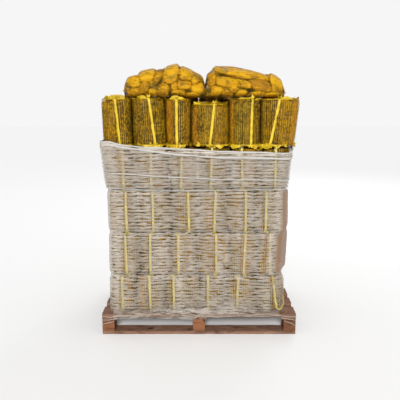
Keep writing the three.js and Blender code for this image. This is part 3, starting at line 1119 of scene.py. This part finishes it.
class FIREWOOD_OT_loose_bags(bpy.types.Operator):
    """Fill the loose layer: split logs in a knitted net, with its seam tape and gathered ends"""

    bl_idname = "firewood.loose_bags"
    bl_label = "Loose Bags"

    # How far the end columns bulge past their solids, and how much more the rows behind short bags rise
    BULGE, RISE_BEHIND = 0.009, 0.026

    def execute(self, context):
        net = settings().net
        wood = log_wood("loose_log_wood", *wood_shades())
        yellow = list(net.thread_colour)
        threads = net_materials("loose", yellow, times(yellow, 0.2), list(net.tape_colour))
        for row in range(ROWS):
            for column in range(COLUMNS):
                self.bag(row, column, wood, threads)
        return {"FINISHED"}

    def bag(self, row, column, wood, threads):
        name = f"bag_row{row + 1}_{column + 1}"
        rng = np.random.default_rng(100 + row * COLUMNS + column)
        feet, shoulders, low, high = spans_of(name)
        for spans in (feet, shoulders):
            spans[0][0] -= self.BULGE * (column == 0)
            spans[1][0] += self.BULGE * (column == COLUMNS - 1)
        high += self.RISE_BEHIND * (column in SHORT_BAGS and row > 0)
        bag = StandingBag(feet, shoulders, low, high, rng, 3.0, 0.005)
        filling = Heap()
        bag.add_logs(filling, settings().logs.per_bag, (0.004, 0.022))
        make_logs(filling, name, wood, "loose_firewood")
        knit = Heap()
        net = settings().net
        add_net(knit, bag.rings(net.pitch), net.thread, rng)
        self.seam(knit, bag, row, column, rng)
        self.gathers(knit, bag, rng)
        dress(knit.make(f"{name}_net", threads), "loose_firewood")

    def seam(self, knit, bag, row, column, rng):
        width = settings().net.tape
        if row == 0:
            foot, top = LOOSE_SEAMS[column]
            front = True
        else:
            foot = bag.feet.mean(0)[0] + rng.uniform(-0.5, 0.5) * bag.half[0]
            top = foot + rng.uniform(-0.02, 0.02)
            front = row != ROWS - 1
        heights = np.linspace(bag.low + 0.004, bag.high + 0.002, 26)
        line = bag.seam(np.linspace(foot, top, 26), heights, front)
        add_tape(knit, *line, width, rng)
        for end, towards in ((0, (0, line[2][0][1], 0.25)), (-1, (0, line[2][0][1] * 0.6, 1))):
            add_tuft(knit, line[0][end], towards, 0.026, rng)

    def gathers(self, knit, bag, rng):
        """The net's bunched edges: round the top, and flared at the foot."""
        count = 72
        for scale, height, rise, flare in (
            (0.955, bag.high - 0.006, 0.018, 0.006),
            (0.7, bag.high - 0.002, 0.014, 0.006),
            (1.0, bag.low + 0.014, -0.034, 0.012),
        ):
            loop = bag.loop(count, scale, height)
            middle = loop.mean(0)
            out = unit((loop - middle) * (1, 1, 0))
            add_frill(knit, loop, out, rise, flare, rng)
        foot = bag.loop(24, 1.0, bag.low + 0.006)
        for spot in foot[rng.choice(24, 9, replace=False)]:
            out = unit((spot - foot.mean(0)) * (1, 1, 0))
            add_tuft(knit, spot, out + (0, 0, rng.uniform(0, 0.8)), rng.uniform(0.014, 0.03), rng, 5)


class LyingBag:
    """A bag on its side: its sleeve along X, and its logs across or along it."""

    # How squared a log's cut end is: 2 is an oval
    SQUARED = 2.8

    def __init__(self, name, logs, rng):
        points = node_points(name)
        self.name, self.rng = name, rng
        stations = np.unique(np.round(points[:, 0], 5))
        rings = [points[abs(points[:, 0] - x) < 2e-5] for x in stations]
        rows = [(x, *ring[:, 1:].min(0), *ring[:, 1:].max(0)) for x, ring in zip(stations, rings)]
        self.x, self.front, self.bottom, self.back, self.top = np.array(rows).T
        self.outline = inset(hull(points[:, (0, 2)]), 0.010)
        logs = np.array(logs, float)
        self.middles, self.halves, self.tints = logs[:, :2], logs[:, 2:4], logs[:, 5]
        lean = np.radians(logs[:, 4])
        self.ways = np.stack([np.cos(lean), np.sin(lean)], -1)
        self.proud = rng.uniform(-0.010, 0.008, len(logs))
        self.slopes = rng.uniform(-0.22, 0.22, (len(logs), 2))
        pairs = rng.uniform(-0.2, 0.9, (len(logs), len(logs)))
        self.apart = np.clip((pairs + pairs.T) / 2, 0, 1)

    def at(self, x):
        """The front, back, bottom and top along the bag."""
        return [np.interp(x, self.x, line) for line in (self.front, self.back, self.bottom, self.top)]

    def facing(self, x, z, forward):
        """A point between the back, 0, and the front, 1, inside the bag's rounded sides."""
        front, back, low, high = self.at(x)
        aside = np.clip(abs(2 * (z - low) / (high - low) - 1), 0, 0.999)
        half = (back - front) / 2 * (1 - aside**ROUND_BAG) ** (1 / ROUND_BAG) - 0.014
        return np.stack([x, (front + back) / 2 + np.clip(1 - 2 * forward, -1, 1) * half, z], -1)

    def add_facing_logs(self, heap):
        """Logs whose ends press on the net at the front and at the back."""
        for middle, half, way, slope in zip(self.middles, self.halves, self.ways, self.slopes):
            turned = np.array((way, (-way[1], way[0])))
            section = bag_section(*half, self.rng, 9, self.SQUARED) @ turned + middle
            for corner, normal in zip(self.outline, inwards(self.outline)):
                section = cut_off(section, corner, -normal)
            for ends in ((0.0, 0.3), (0.7, 1.0)):
                tone = self.rng.uniform(0.3, 1)
                lean = np.stack([slope, slope])
                add_log(heap, section, self.outline, self.facing, ends, self.rng, tone, 5, 0.003, lean)

    def add_core_logs(self, heap):
        """Long logs along the middle of the bag."""
        inner = hull([(y, z) for y in (-0.45, 0.45) for z in (0.06, 0.9)])

        def along(y, z, x):
            front, back, low, high = self.at(x)
            return np.stack([x, (front + back) / 2 + y * (back - front) / 2, low + z * (high - low)], -1)

        for cell in split_cells(inner, 6, self.rng)[0]:
            ends = self.x[0] + 0.03, self.x[-1] - 0.03
            add_log(heap, cell, inner, along, ends, self.rng, self.rng.uniform(0, 0.4), 12, 0.03)

    def sleeve(self, count, threads):
        """Rings round the bag, each a squared oval on the bag's underside."""
        x = np.linspace(self.x[0], self.x[-1], count)
        front, back, bottom, top = (line[:, None] for line in self.at(x))
        turn = np.linspace(0, 2 * math.pi, threads, endpoint=False)
        power = 2 / ROUND_BAG
        ahead = np.sign(np.cos(turn)) * abs(np.cos(turn)) ** power
        above = np.sign(np.sin(turn)) * abs(np.sin(turn)) ** power
        y = (front + back) / 2 - (back - front) / 2 * ahead
        z = (bottom + top) / 2 + (top - bottom) / 2 * above
        return np.stack([np.broadcast_to(x[:, None], y.shape), y, z], -1), ahead, above

    def press(self, rings, ahead, above, depth):
        """Draws the net over the logs, and tells each point's tint and how sunk it is; how sunk it is also
        weights the painted shade in the net's colour.
        """
        offset = rings[..., None, (0, 2)] - self.middles
        across = np.stack([-self.ways[:, 1], self.ways[:, 0]], -1)
        spot = np.stack([(offset * way).sum(-1) for way in (self.ways, across)], -1)
        spot = abs(spot) / self.halves
        reach = (spot**self.SQUARED).sum(-1) ** (1 / self.SQUARED)
        order = np.argsort(reach, -1)
        first = order[..., 0]
        near, after = (np.take_along_axis(reach, order[..., i : i + 1], -1)[..., 0] for i in (0, 1))
        sink = np.clip((near - 0.96) / 0.3, 0, 1)
        crease = self.apart[first, order[..., 1]] * np.exp(-(((after - near) / 0.1) ** 2))
        crease = crease * np.clip((near - 0.7) / 0.25, 0, 1)
        uneven = np.clip(0.7 + 0.7 * wavy_sheet(*sink.shape, 9, 14, self.rng), 0.15, 1)
        sink = np.maximum(sink, crease) * uneven
        dome = 1 - np.clip(near, 0, 1) ** 2.5
        from_middle = np.take_along_axis(offset, first[..., None, None], -2)[..., 0, :]
        tilt = (from_middle * self.slopes[first]).sum(-1)
        lift = np.clip(self.proud[first] + tilt, -0.016, 0.012) * (near < 1.1)
        rings[..., 1] -= ahead * (lift + 0.009 * dome - depth * sink)
        rings[..., 2] += np.maximum(above, 0) * (0.010 + lift * 0.6 + 0.004 * dome - 0.45 * depth * sink)
        return {"tint": self.tints[first], "sink": sink * (abs(ahead) > 0.3)}


class FIREWOOD_OT_lying_bags(bpy.types.Operator):
    """Make the two fuller bags that lie across the top of the load"""

    bl_idname = "firewood.lying_bags"
    bl_label = "Lying Bags"

    def execute(self, context):
        net = settings().net
        wood = log_wood("lying_log_wood", *wood_shades((1.5, 1.3, 0.8)))
        shades = [list(shade) for shade in (net.golden, net.orange, net.tape_colour, net.sunk)]
        threads = net_materials("lying", *shades)
        for side, logs, seed in (("left", LEFT_BAG_LOGS, 507), ("right", RIGHT_BAG_LOGS, 641)):
            self.bag(LyingBag(f"lying_bag_{side}", logs, np.random.default_rng(seed)), wood, threads)
        return {"FINISHED"}

    def bag(self, bag, wood, threads):
        filling = Heap()
        bag.add_facing_logs(filling)
        bag.add_core_logs(filling)
        make_logs(filling, bag.name, wood, "lying_firewood")
        rings, ahead, above = bag.sleeve(92, 104)
        known = bag.press(rings, ahead, above, 0.024)
        self.net(bag, rings, known, threads)

    def net(self, bag, rings, known, threads):
        """Closes the sleeve's ends in a gather, and adds the tied ends."""
        ends = []
        for ring, side in ((rings[0], -1), (rings[-1], 1)):
            middle = ring.mean(0)
            gather = [
                middle + (ring - middle) * scale + (side * off, 0, 0)
                for scale, off in ((0.6, 0.004), (0.16, 0.006))
            ]
            ends.append(np.stack(gather[::side]))
        rings = np.concatenate([ends[0], rings, ends[1]])
        known = {label: np.pad(each, ((2, 2), (0, 0)), "edge") for label, each in known.items()}
        knit = Heap()
        add_net(knit, rings, settings().net.thread * 1.2, bag.rng, None, known)
        for index, towards in ((0, (-1, -0.4, 0.2)), (-1, (1, -0.4, 0.1))):
            add_tuft(knit, rings[index].mean(0), towards, 0.013, bag.rng, 8)
        dress(knit.make(f"{bag.name}_net", threads), "lying_firewood")


class LoadShape:
    """The wrapped layers' outline at each height, and the way round it."""

    CORNER = 0.05

    def __init__(self):
        levels = []
        for layer in range(LAYERS):
            feet, shoulders, low, high = spans_of(f"wrapped_layer_{layer + 1}")
            levels += [(low, *feet[0], *feet[1]), (high, *shoulders[0], *shoulders[1])]
        self.levels = np.array(levels).T
        self.tops = self.levels[0][1::2]
        self.bottom = self.levels[0][0]
        left, front, right, back = self.levels[1:].mean(1)
        self.half = np.array((right - left, back - front)) / 2

    def spans(self, height):
        """(left, front) and (right, back) at a height."""
        left, front, right, back = (np.interp(height, self.levels[0], line) for line in self.levels[1:])
        return np.stack([left, front], -1), np.stack([right, back], -1)

    def outline(self, columns):
        """Points and outward directions round a rounded rectangle, from the front's left corner."""
        hx, hy, r = *self.half, self.CORNER
        runs = [2 * (hx - r), math.pi / 2 * r, 2 * (hy - r), math.pi / 2 * r] * 2
        at = np.linspace(0, sum(runs), columns, endpoint=False)
        ends = np.cumsum(runs)
        corners = [(hx - r, -hy + r), (hx - r, hy - r), (-hx + r, hy - r), (-hx + r, -hy + r)]
        starts = [(-hx + r, -hy), (hx, -hy + r), (hx - r, hy), (-hx, hy - r)]
        ways = [(1, 0), (0, 1), (-1, 0), (0, -1)]
        points, outs = [], []
        for s in at:
            index = int(np.searchsorted(ends, s, side="right"))
            part, side = s - (ends[index] - runs[index]), index // 2
            way = np.array(ways[side], float)
            out = np.array((way[1], -way[0]))
            if index % 2 == 0:
                points.append(starts[side] + way * part)
                outs.append(out)
            else:
                turn = part / r
                out = out * math.cos(turn) + way * math.sin(turn)
                points.append(corners[side] + out * r)
                outs.append(out)
        return np.array(points), np.array(outs), at, ends[-1]

    def place(self, flat, outs, heights, proud):
        """Points of the outline at these heights, standing proud by these amounts."""
        low, high = self.spans(heights)
        middle, half = (low + high) / 2, (high - low) / 2
        spread = middle + flat / self.half * half + outs * proud[..., None]
        return np.concatenate([spread, heights[..., None]], -1)


class FIREWOOD_OT_wrapped_layers(bpy.types.Operator):
    """Fill the wrapped layers with bags of logs, with nets and seam tapes on the outer ones"""

    bl_idname = "firewood.wrapped_layers"
    bl_label = "Wrapped Layers"

    # Room between a layer's solid and its bags, and round each bag
    INSET, ROOM = 0.0005, 0.002

    def execute(self, context):
        net = settings().net
        # The wrapped logs get the wood at 0.62 of its colour: painted shade for the dark inside of the
        # load seen through the film.
        wood = log_wood("wrapped_log_wood_painted_shade", *wood_shades((0.62, 0.62, 0.62)))
        yellow = list(net.thread_colour)
        threads = net_materials("wrapped", yellow, times(yellow, 0.34), list(net.faded_tape))
        for layer in range(LAYERS):
            self.layer(layer, wood, threads)
        return {"FINISHED"}

    def layer(self, layer, wood, threads):
        name = f"wrapped_layer_{layer + 1}"
        rng = np.random.default_rng(900 + layer)
        feet, shoulders, low, high = spans_of(name)
        edges_y = np.linspace(0, 1, ROWS + 1)
        filling, knit = Heap(), Heap()
        for row in range(ROWS):
            edges_x = np.linspace(0, 1, COLUMNS + 1)
            edges_x[1:-1] += rng.uniform(-0.02, 0.02, COLUMNS - 1)
            if layer in MIDDLE_ROW_ENDS:
                edges_x[-1] += MIDDLE_ROW_ENDS[layer][row]
            for column in range(COLUMNS):
                share = np.array(
                    [(edges_x[column], edges_y[row]), (edges_x[column + 1], edges_y[row + 1])]
                )
                spans = [self.part_of(part, share) for part in (feet, shoulders)]
                bag = StandingBag(*spans, low + 0.001, high - 0.002, rng, 4.6, 0.009)
                outer = row in (0, ROWS - 1) or column in (0, COLUMNS - 1)
                bag.add_logs(filling, 11 if outer else 5, (0.004, 0.02), 4 if outer else 2)
                if outer:
                    self.net(knit, bag, layer, row, column, rng)
        make_logs(filling, name, wood, "wrapped_firewood")
        dress(knit.make(f"{name}_net", threads), "wrapped_firewood")

    def part_of(self, spans, share):
        low, high = spans[0] + self.INSET, spans[1] - self.INSET
        return low + (high - low) * share + np.array([(self.ROOM, self.ROOM), (-self.ROOM, -self.ROOM)])

    def net(self, knit, bag, layer, row, column, rng):
        """The net on a bag's outer sides, its seam, and the bunched net at its ends."""
        net = settings().net
        rings = bag.rings(net.wrapped_pitch, False)
        outward = (rings[len(rings) // 2] - rings[len(rings) // 2].mean(0))[:, :2] / bag.half
        sides = []
        if column in (0, COLUMNS - 1):
            sides.append(outward[:, 0] * (1 if column else -1))
        if row in (0, ROWS - 1):
            sides.append(outward[:, 1] * (1 if row else -1))
        add_net(knit, rings, net.thread, rng, np.max(sides, 0) > 0.45)
        if row in (0, ROWS - 1):
            front = row == 0
            x = WRAPPED_SEAMS[layer][column] if front else bag.feet.mean(0)[0] + rng.uniform(-0.06, 0.06)
            across = x + np.linspace(0, rng.uniform(-0.012, 0.012), 20)
            heights = np.linspace(bag.low, bag.high, 20)
            if front and layer == 0 and column == COLUMNS - 1:
                across, heights = np.array(CORNER_SEAM).T
            line = bag.seam(across, heights, front)
            add_tape(knit, *line, net.tape, rng)
            for end, lift in ((0, 0.3), (-1, -0.3)):
                spread = rng.uniform(-1, 1)
                add_tuft(knit, line[0][end], (spread, line[2][0][1] * 0.5, lift), 0.024, rng, 7)


class FIREWOOD_OT_stretch_film(bpy.types.Operator):
    """Wrap the lower layers: ribbed film, its looser upper band, rolled edges and skirt"""

    bl_idname = "firewood.stretch_film"
    bl_label = "Stretch Film"

    COLUMNS_ROUND = 264
    ROWS_PER_RIB = 5
    # How dense each kind of film is at its thinnest and at its thickest
    DENSITY = {"milky_film": (0.0, 0.74), "single_film": (0.0, 0.34), "skirt_film": (0.12, 0.62)}
    # How much of its ribs and grooves the film loses where it lies on card
    SMOOTHED = 0.7
    # How much thinner it is over the seam of the lowest right bag
    CLEARED = 0.62
    # Upright bands of thinner and thicker film: how many there are, and how far they differ
    BANDS, BAND_SHARE = 84, 0.26
    # How far the dense rim reaches down, and the drawn film round a corner of the load
    RIM_REACH, CORNER_REACH = 0.035, 0.025

    def execute(self, context):
        film = settings().film
        shades = list(film.tint), list(film.bright), list(film.lined)
        milky, clear, hanging = (
            stretch_film(name, *shades, *density) for name, density in self.DENSITY.items()
        )
        self.shape = LoadShape()
        self.flat, self.outs, self.run, self.round = self.shape.outline(self.COLUMNS_ROUND)
        rng = np.random.default_rng(77)
        second, top = self.edge(SECOND_ROPE), self.edge(TOP_ROPE)
        hem, third = self.edge(BAND_HEM), self.edge(THIRD_ROPE)
        floor = np.full(self.COLUMNS_ROUND, self.shape.bottom + 0.002)
        wrap = self.sheet("film_wrap", floor, second, 0.0025, 0.0, milky, rng)
        dress(wrap, "film", "stretch_film")
        dress(self.sheet("film_upper_band", hem, top, 0.0095, 2.6, clear, rng), "film")
        dress(self.ropes([top, second, third, hem], rng), "film")
        dress(self.skirt(hanging, rng), "film")
        return {"FINISHED"}

    def edge(self, points):
        """Heights all round the load of an edge that is given along the front."""
        x, z = np.array(points).T
        starts = x - x[0]
        along = starts / starts[-1] * 2 * self.shape.half[0]
        at = np.r_[along, self.round * 0.5, self.round * 0.8, self.round]
        heights = np.r_[z, z[-1] - 0.012, z[0] - 0.02, z[0]]
        return np.interp(self.run, at, heights)

    def sheet(self, name, lower, upper, proud, rim, material, rng):
        """One sheet of film all round, drawn in between bags and layers, with stretched ribs.

        rim says how much denser it is along its upper edge.
        """
        film = settings().film
        tall = float((upper - lower).mean())
        rows = int(tall / film.rib_pitch * self.ROWS_PER_RIB)
        share = np.linspace(0, 1, rows)[:, None]
        columns = self.COLUMNS_ROUND
        heights = lower + (upper - lower) * share
        offset = np.full((rows, columns), proud)
        smooth_side = self.smooth_side(heights)
        offset -= self.grooves(heights, film.groove) * (1 - self.SMOOTHED * smooth_side)
        offset -= self.pinches(heights, film.pinch, rng)
        wander = wavy_sheet(rows, columns, max(3, rows // 40), 24, rng) * 0.35
        phase = heights / film.rib_pitch + wander
        strength = 0.25 + 0.75 * abs(wavy_sheet(rows, columns, max(3, int(rows / 4)), 88, rng))
        strength *= 1 - self.SMOOTHED * smooth_side
        near_corner = np.exp(-((self.from_corner() / self.CORNER_REACH) ** 2))
        strength *= 1 - 0.35 * near_corner
        offset += 0.006 * np.maximum(-self.outs[:, 0], 0)
        cover = (0.90 + 0.12 * (heights - 0.13)) * (1 + 0.12 * near_corner)
        cover *= 1 - self.CLEARED * self.clear_corner(heights)
        bands = wavy_sheet(rows, columns, max(3, rows // 60), self.BANDS, np.random.default_rng(5))
        cover *= 1 + self.BAND_SHARE * bands
        cover *= 1 - 0.5 * self.over_seams(heights)
        cover += rim * np.exp(-(((upper - heights) / self.RIM_REACH) ** 2))
        rib = (0.5 + 0.5 * np.sin(2 * math.pi * phase)) ** 0.7
        offset += film.rib_depth * strength * (rib - 0.6) * 2
        offset += 0.0012 * wavy_sheet(rows, columns, max(3, rows // 3), 130, rng)
        points = self.shape.place(self.flat, self.outs, heights, offset)
        points[..., 0] -= self.drawn_in(heights)
        heap = Heap()
        heap.add(
            points,
            grid_faces(rows, columns, True),
            on_points={
                "cover": cover.ravel(),
                "rib": (1 - strength * (1 - rib)).ravel(),
                "smooth": smooth_side.ravel(),
            },
        )
        made = heap.make(name, [material])
        row, column = divmod(corner_points(made), columns)
        last = np.repeat((column.reshape(-1, 4) == columns - 1).any(1), 4) & (column == 0)
        along = np.where(last, self.round, self.run[column])
        set_wrap_map(made, np.stack([along, heights[row, column]], -1))
        return smooth_all(made)

    def from_corner(self):
        """The way round from each column to the nearest corner of the load."""
        inner = self.shape.half - self.shape.CORNER
        return np.maximum(0, inner - abs(self.flat)).max(1)

    def in_layers(self, heights, first, last):
        """1 within these layers, falling off at their ends."""
        low, high = self.shape.levels[0][2 * first], self.shape.levels[0][2 * last + 1]
        return np.clip((heights - low) / 0.04 + 0.4, 0, 1) * np.clip((high - heights) / 0.04 + 0.4, 0, 1)

    def smooth_side(self, heights):
        """1 where a single turn lies smooth on card, on the right side of the middle layers."""
        turned = np.clip((self.outs[:, 0] - 0.38) / 0.35, 0, 1)
        return turned * np.clip((0.12 - self.flat[:, 1]) / 0.34, 0, 1) * self.in_layers(heights, 1, 2)

    def clear_corner(self, heights):
        """1 over the lowest right front bag, where the film is clear enough to show its seam."""
        over_bag = np.clip((self.flat[:, 0] - 0.44) / 0.04, 0, 1) * (self.flat[:, 1] < -0.3)
        return over_bag * np.clip((0.36 - heights) / 0.16, 0, 1)

    def over_seams(self, heights):
        """Up to 1 over the seams of the front bags, which show through the film."""
        shown = np.zeros_like(heights)
        on_front = self.outs[:, 1] < -0.9
        for layer, seams in enumerate(WRAPPED_SEAMS):
            nearest = abs(self.flat[:, :1] - seams).min(1)
            shown += on_front * np.exp(-((nearest / 0.011) ** 2)) * self.in_layers(heights, layer, layer)
        return np.clip(shown, 0, 1)

    def drawn_in(self, heights):
        """How far the film goes in at the right front corner, where the front bags are narrower.

        Further back on that side the bags stand out, and so does the film.
        """
        near_right = np.clip((self.flat[:, 0] - 0.36) / 0.17, 0, 1)
        near_front = np.clip((-0.22 - self.flat[:, 1]) / 0.15, 0, 1)
        beside = np.clip((self.outs[:, 0] - 0.3) / 0.5, 0, 1) * (1 - near_front)
        beside *= np.clip((0.3 - self.flat[:, 1]) / 0.28, 0, 1)
        inwards_by = 0.046 * self.in_layers(heights, 1, 1) + 0.014 * self.in_layers(heights, 2, 2)
        return inwards_by * near_right * near_front - 0.024 * beside * self.in_layers(heights, 1, 2)

    def grooves(self, heights, depth):
        """Where the film sinks in between neighbouring bags."""
        step_x, step_y = 2 * self.shape.half[0] / COLUMNS, 2 * self.shape.half[1] / ROWS
        on_long = abs(self.outs[:, 1]) > 0.99
        on_short = abs(self.outs[:, 0]) > 0.99
        along = np.where(on_long, (self.flat[:, 0] + self.shape.half[0]) / step_x, 0.5)
        along = np.where(on_short, (self.flat[:, 1] + self.shape.half[1]) / step_y, along)
        from_edge = abs(along - np.round(along)) * np.where(on_short, step_y, step_x)
        return depth * np.exp(-((from_edge / 0.022) ** 2)) * np.ones_like(heights)

    def pinches(self, heights, depth, rng):
        """Where the film sinks in between two layers."""
        sunk = np.zeros_like(heights)
        for top in self.shape.tops[:-1]:
            uneven = 0.75 + 0.25 * wavy(self.COLUMNS_ROUND, 30, rng)
            sunk += depth * uneven * np.exp(-(((heights - top) / 0.02) ** 2))
        return sunk

    def ropes(self, edges, rng):
        """The rolled film edges, as lumpy cords round the load, and strands round the front blocks."""
        film = settings().film
        heap = Heap()
        out = np.concatenate([self.outs, np.zeros((len(self.outs), 1))], -1)
        for edge, size in zip(edges, (1.0, 1.15, 0.6, 0.36)):
            heights = edge + 0.0015 * wavy(self.COLUMNS_ROUND, 60, rng)
            proud = 0.009 - self.grooves(heights, film.groove * 0.6)
            middle = self.shape.place(self.flat, self.outs, heights, proud)
            reach = film.rope * size * (1 + 0.35 * wavy(self.COLUMNS_ROUND, 90, rng))
            add_cord(heap, middle, out, reach, True)
        for points in BLOCK_STRANDS:
            for mirror in (-1, 1):
                sway = rng.uniform(-0.006, 0.006, (len(points), 3)) * (0, 0, 1)
                path = np.array(points) * (mirror, 1, 1) + sway
                out = np.array([(0, -1, 0)] * (len(path) - 1) + [(mirror, 0, 0)])
                add_cord(heap, path, out, np.full(len(path), 0.0013), False)
        return smooth_all(heap.make("film_rolled_edges", [rolled_film(list(film.rolled))]))

    def skirt(self, material, rng):
        """The first turn of film, drawn out over the deck's front lip, with its loose tail."""
        deck_low, deck_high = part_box("deck_board_1")
        wall = self.shape.levels[2][0] - 0.004
        columns, rows = 120, 18
        x = np.linspace(SKIRT_DROP[0][0], SKIRT_DROP[-1][0], columns)
        rise = np.interp(x, *np.array(SKIRT_RISE).T)
        drop = np.interp(x, *np.array(SKIRT_DROP).T) + 0.003 * wavy(columns, 26, rng, False)
        lip, top = deck_low.y - 0.0035, deck_high.z + 0.0035
        share = np.linspace(0, 1, rows)[:, None]
        at_lip = 0.62
        slope = np.clip(share / at_lip, 0, 1)
        fall = np.clip((share - at_lip) / (1 - at_lip), 0, 1)
        y = wall + (lip - wall) * slope**0.8 + 0 * x
        z = top + rise * (1 - slope) ** 1.3 - drop * fall
        ripple = wavy_sheet(rows, columns, 8, 40, rng) * 0.002
        points = np.stack([np.broadcast_to(x, y.shape), y - abs(ripple), z + ripple * (1 - fall)], -1)
        unrolled = np.stack([np.broadcast_to(x, y.shape), np.broadcast_to(share * 0.09, y.shape)], -1)
        cover = np.where(x < 0.05, np.clip(share / 0.4, 0, 1), 0.45 + 0.55 * slope)
        heap = Heap()
        heap.add(
            points,
            grid_faces(rows, columns, False),
            on_points={
                "cover": cover.ravel(),
                "rib": np.clip(0.6 + 0.4 * wavy_sheet(rows, columns, 11, 16, rng), 0, 1).ravel(),
            },
        )
        made = heap.make("film_skirt", [material])
        set_wrap_map(made, unrolled.reshape(-1, 2)[corner_points(made)])
        return smooth_all(made)


class FIREWOOD_OT_stage(bpy.types.Operator):
    """Set the load on a pale floor under soft light, seen from the front"""

    bl_idname = "firewood.stage"
    bl_label = "Stage"

    def execute(self, context):
        self.floor()
        self.lights(context.scene)
        self.camera(context.scene)
        return {"FINISHED"}

    def floor(self):
        bpy.ops.object.select_all(action="DESELECT")
        bpy.ops.mesh.primitive_plane_add(size=40, location=(0, 0, -0.0005))
        floor = bpy.context.object
        floor.name = "studio_floor"
        bpy.ops.object.mode_set(mode="EDIT")
        bpy.ops.mesh.subdivide(number_cuts=8)
        bpy.ops.object.mode_set(mode="OBJECT")
        floor.data.materials.append(studio_floor(list(settings().stage.floor_colour)))

    def lights(self, scene):
        """A low soft sun from the front, a weaker lamp behind, and even white air."""
        world = bpy.data.worlds.new("studio_air")
        world.use_nodes = True
        seen = Value(world.node_tree).node("ShaderNodeLightPath", output="Is Camera Ray")
        air = world.node_tree.nodes["Background"]
        air.inputs["Color"].default_value = (1, 1, 1, 1)
        world.node_tree.links.new((0.54 + 0.38 * seen).socket, air.inputs["Strength"])
        scene.world = world
        key = bpy.data.lights.new("key", "SUN")
        key.energy, key.angle = 2.9, math.radians(14)
        back = bpy.data.lights.new("back", "AREA")
        back.energy, back.size = 40, 2.0
        for lamp, place_at in ((key, (-0.2, -4.2, 2.1)), (back, (2.2, 4.4, 3.6))):
            holder = bpy.data.objects.new(lamp.name, lamp)
            holder.location = place_at
            holder.rotation_euler = (-holder.location).to_track_quat("-Z", "Y").to_euler()
            scene.collection.objects.link(holder)
        scene.view_settings.view_transform = "Standard"

    def camera(self, scene):
        stage = settings().stage
        view = bpy.data.cameras.new("camera")
        view.lens, view.sensor_width, view.shift_x = stage.lens, 36.0, 0.0025
        holder = bpy.data.objects.new("camera", view)
        holder.location = (0, -stage.camera_distance, stage.camera_height)
        holder.rotation_euler = (math.pi / 2 - stage.camera_pitch, 0, 0)
        scene.collection.objects.link(holder)
        scene.camera = holder


OPERATORS = (
    FIREWOOD_OT_stage,
    FIREWOOD_OT_pallet,
    FIREWOOD_OT_wrapped_layers,
    FIREWOOD_OT_stretch_film,
    FIREWOOD_OT_loose_bags,
    FIREWOOD_OT_lying_bags,
)


class FIREWOOD_PT_load(bpy.types.Panel):
    """Lists the load's groups of pieces"""

    bl_idname = "FIREWOOD_PT_load"
    bl_label = "Firewood Load"
    bl_space_type = "VIEW_3D"
    bl_region_type = "UI"
    bl_category = "Firewood"

    def draw(self, context):
        load = settings()
        for group in (load.pallet, load.logs, load.net, load.film, load.stage):
            box = self.layout.box()
            for name in group.bl_rna.properties.keys():
                if name not in ("rna_type", "name"):
                    box.prop(group, name)
        for operator in OPERATORS:
            self.layout.operator(operator.bl_idname)


CLASSES = (
    PalletSettings,
    LogSettings,
    NetSettings,
    FilmSettings,
    StageSettings,
    FirewoodLoadSettings,
    *OPERATORS,
    FIREWOOD_PT_load,
)


def register():
    for each in CLASSES:
        bpy.utils.register_class(each)
    bpy.types.Scene.firewood_load = PointerProperty(type=FirewoodLoadSettings)


def unregister():
    del bpy.types.Scene.firewood_load
    for each in reversed(CLASSES):
        bpy.utils.unregister_class(each)


def main():
    register()
    bpy.ops.firewood.stage()
    bpy.ops.firewood.pallet()
    bpy.ops.firewood.wrapped_layers()
    bpy.ops.firewood.stretch_film()
    bpy.ops.firewood.loose_bags()
    bpy.ops.firewood.lying_bags()


if __name__ == "__main__":
    main()
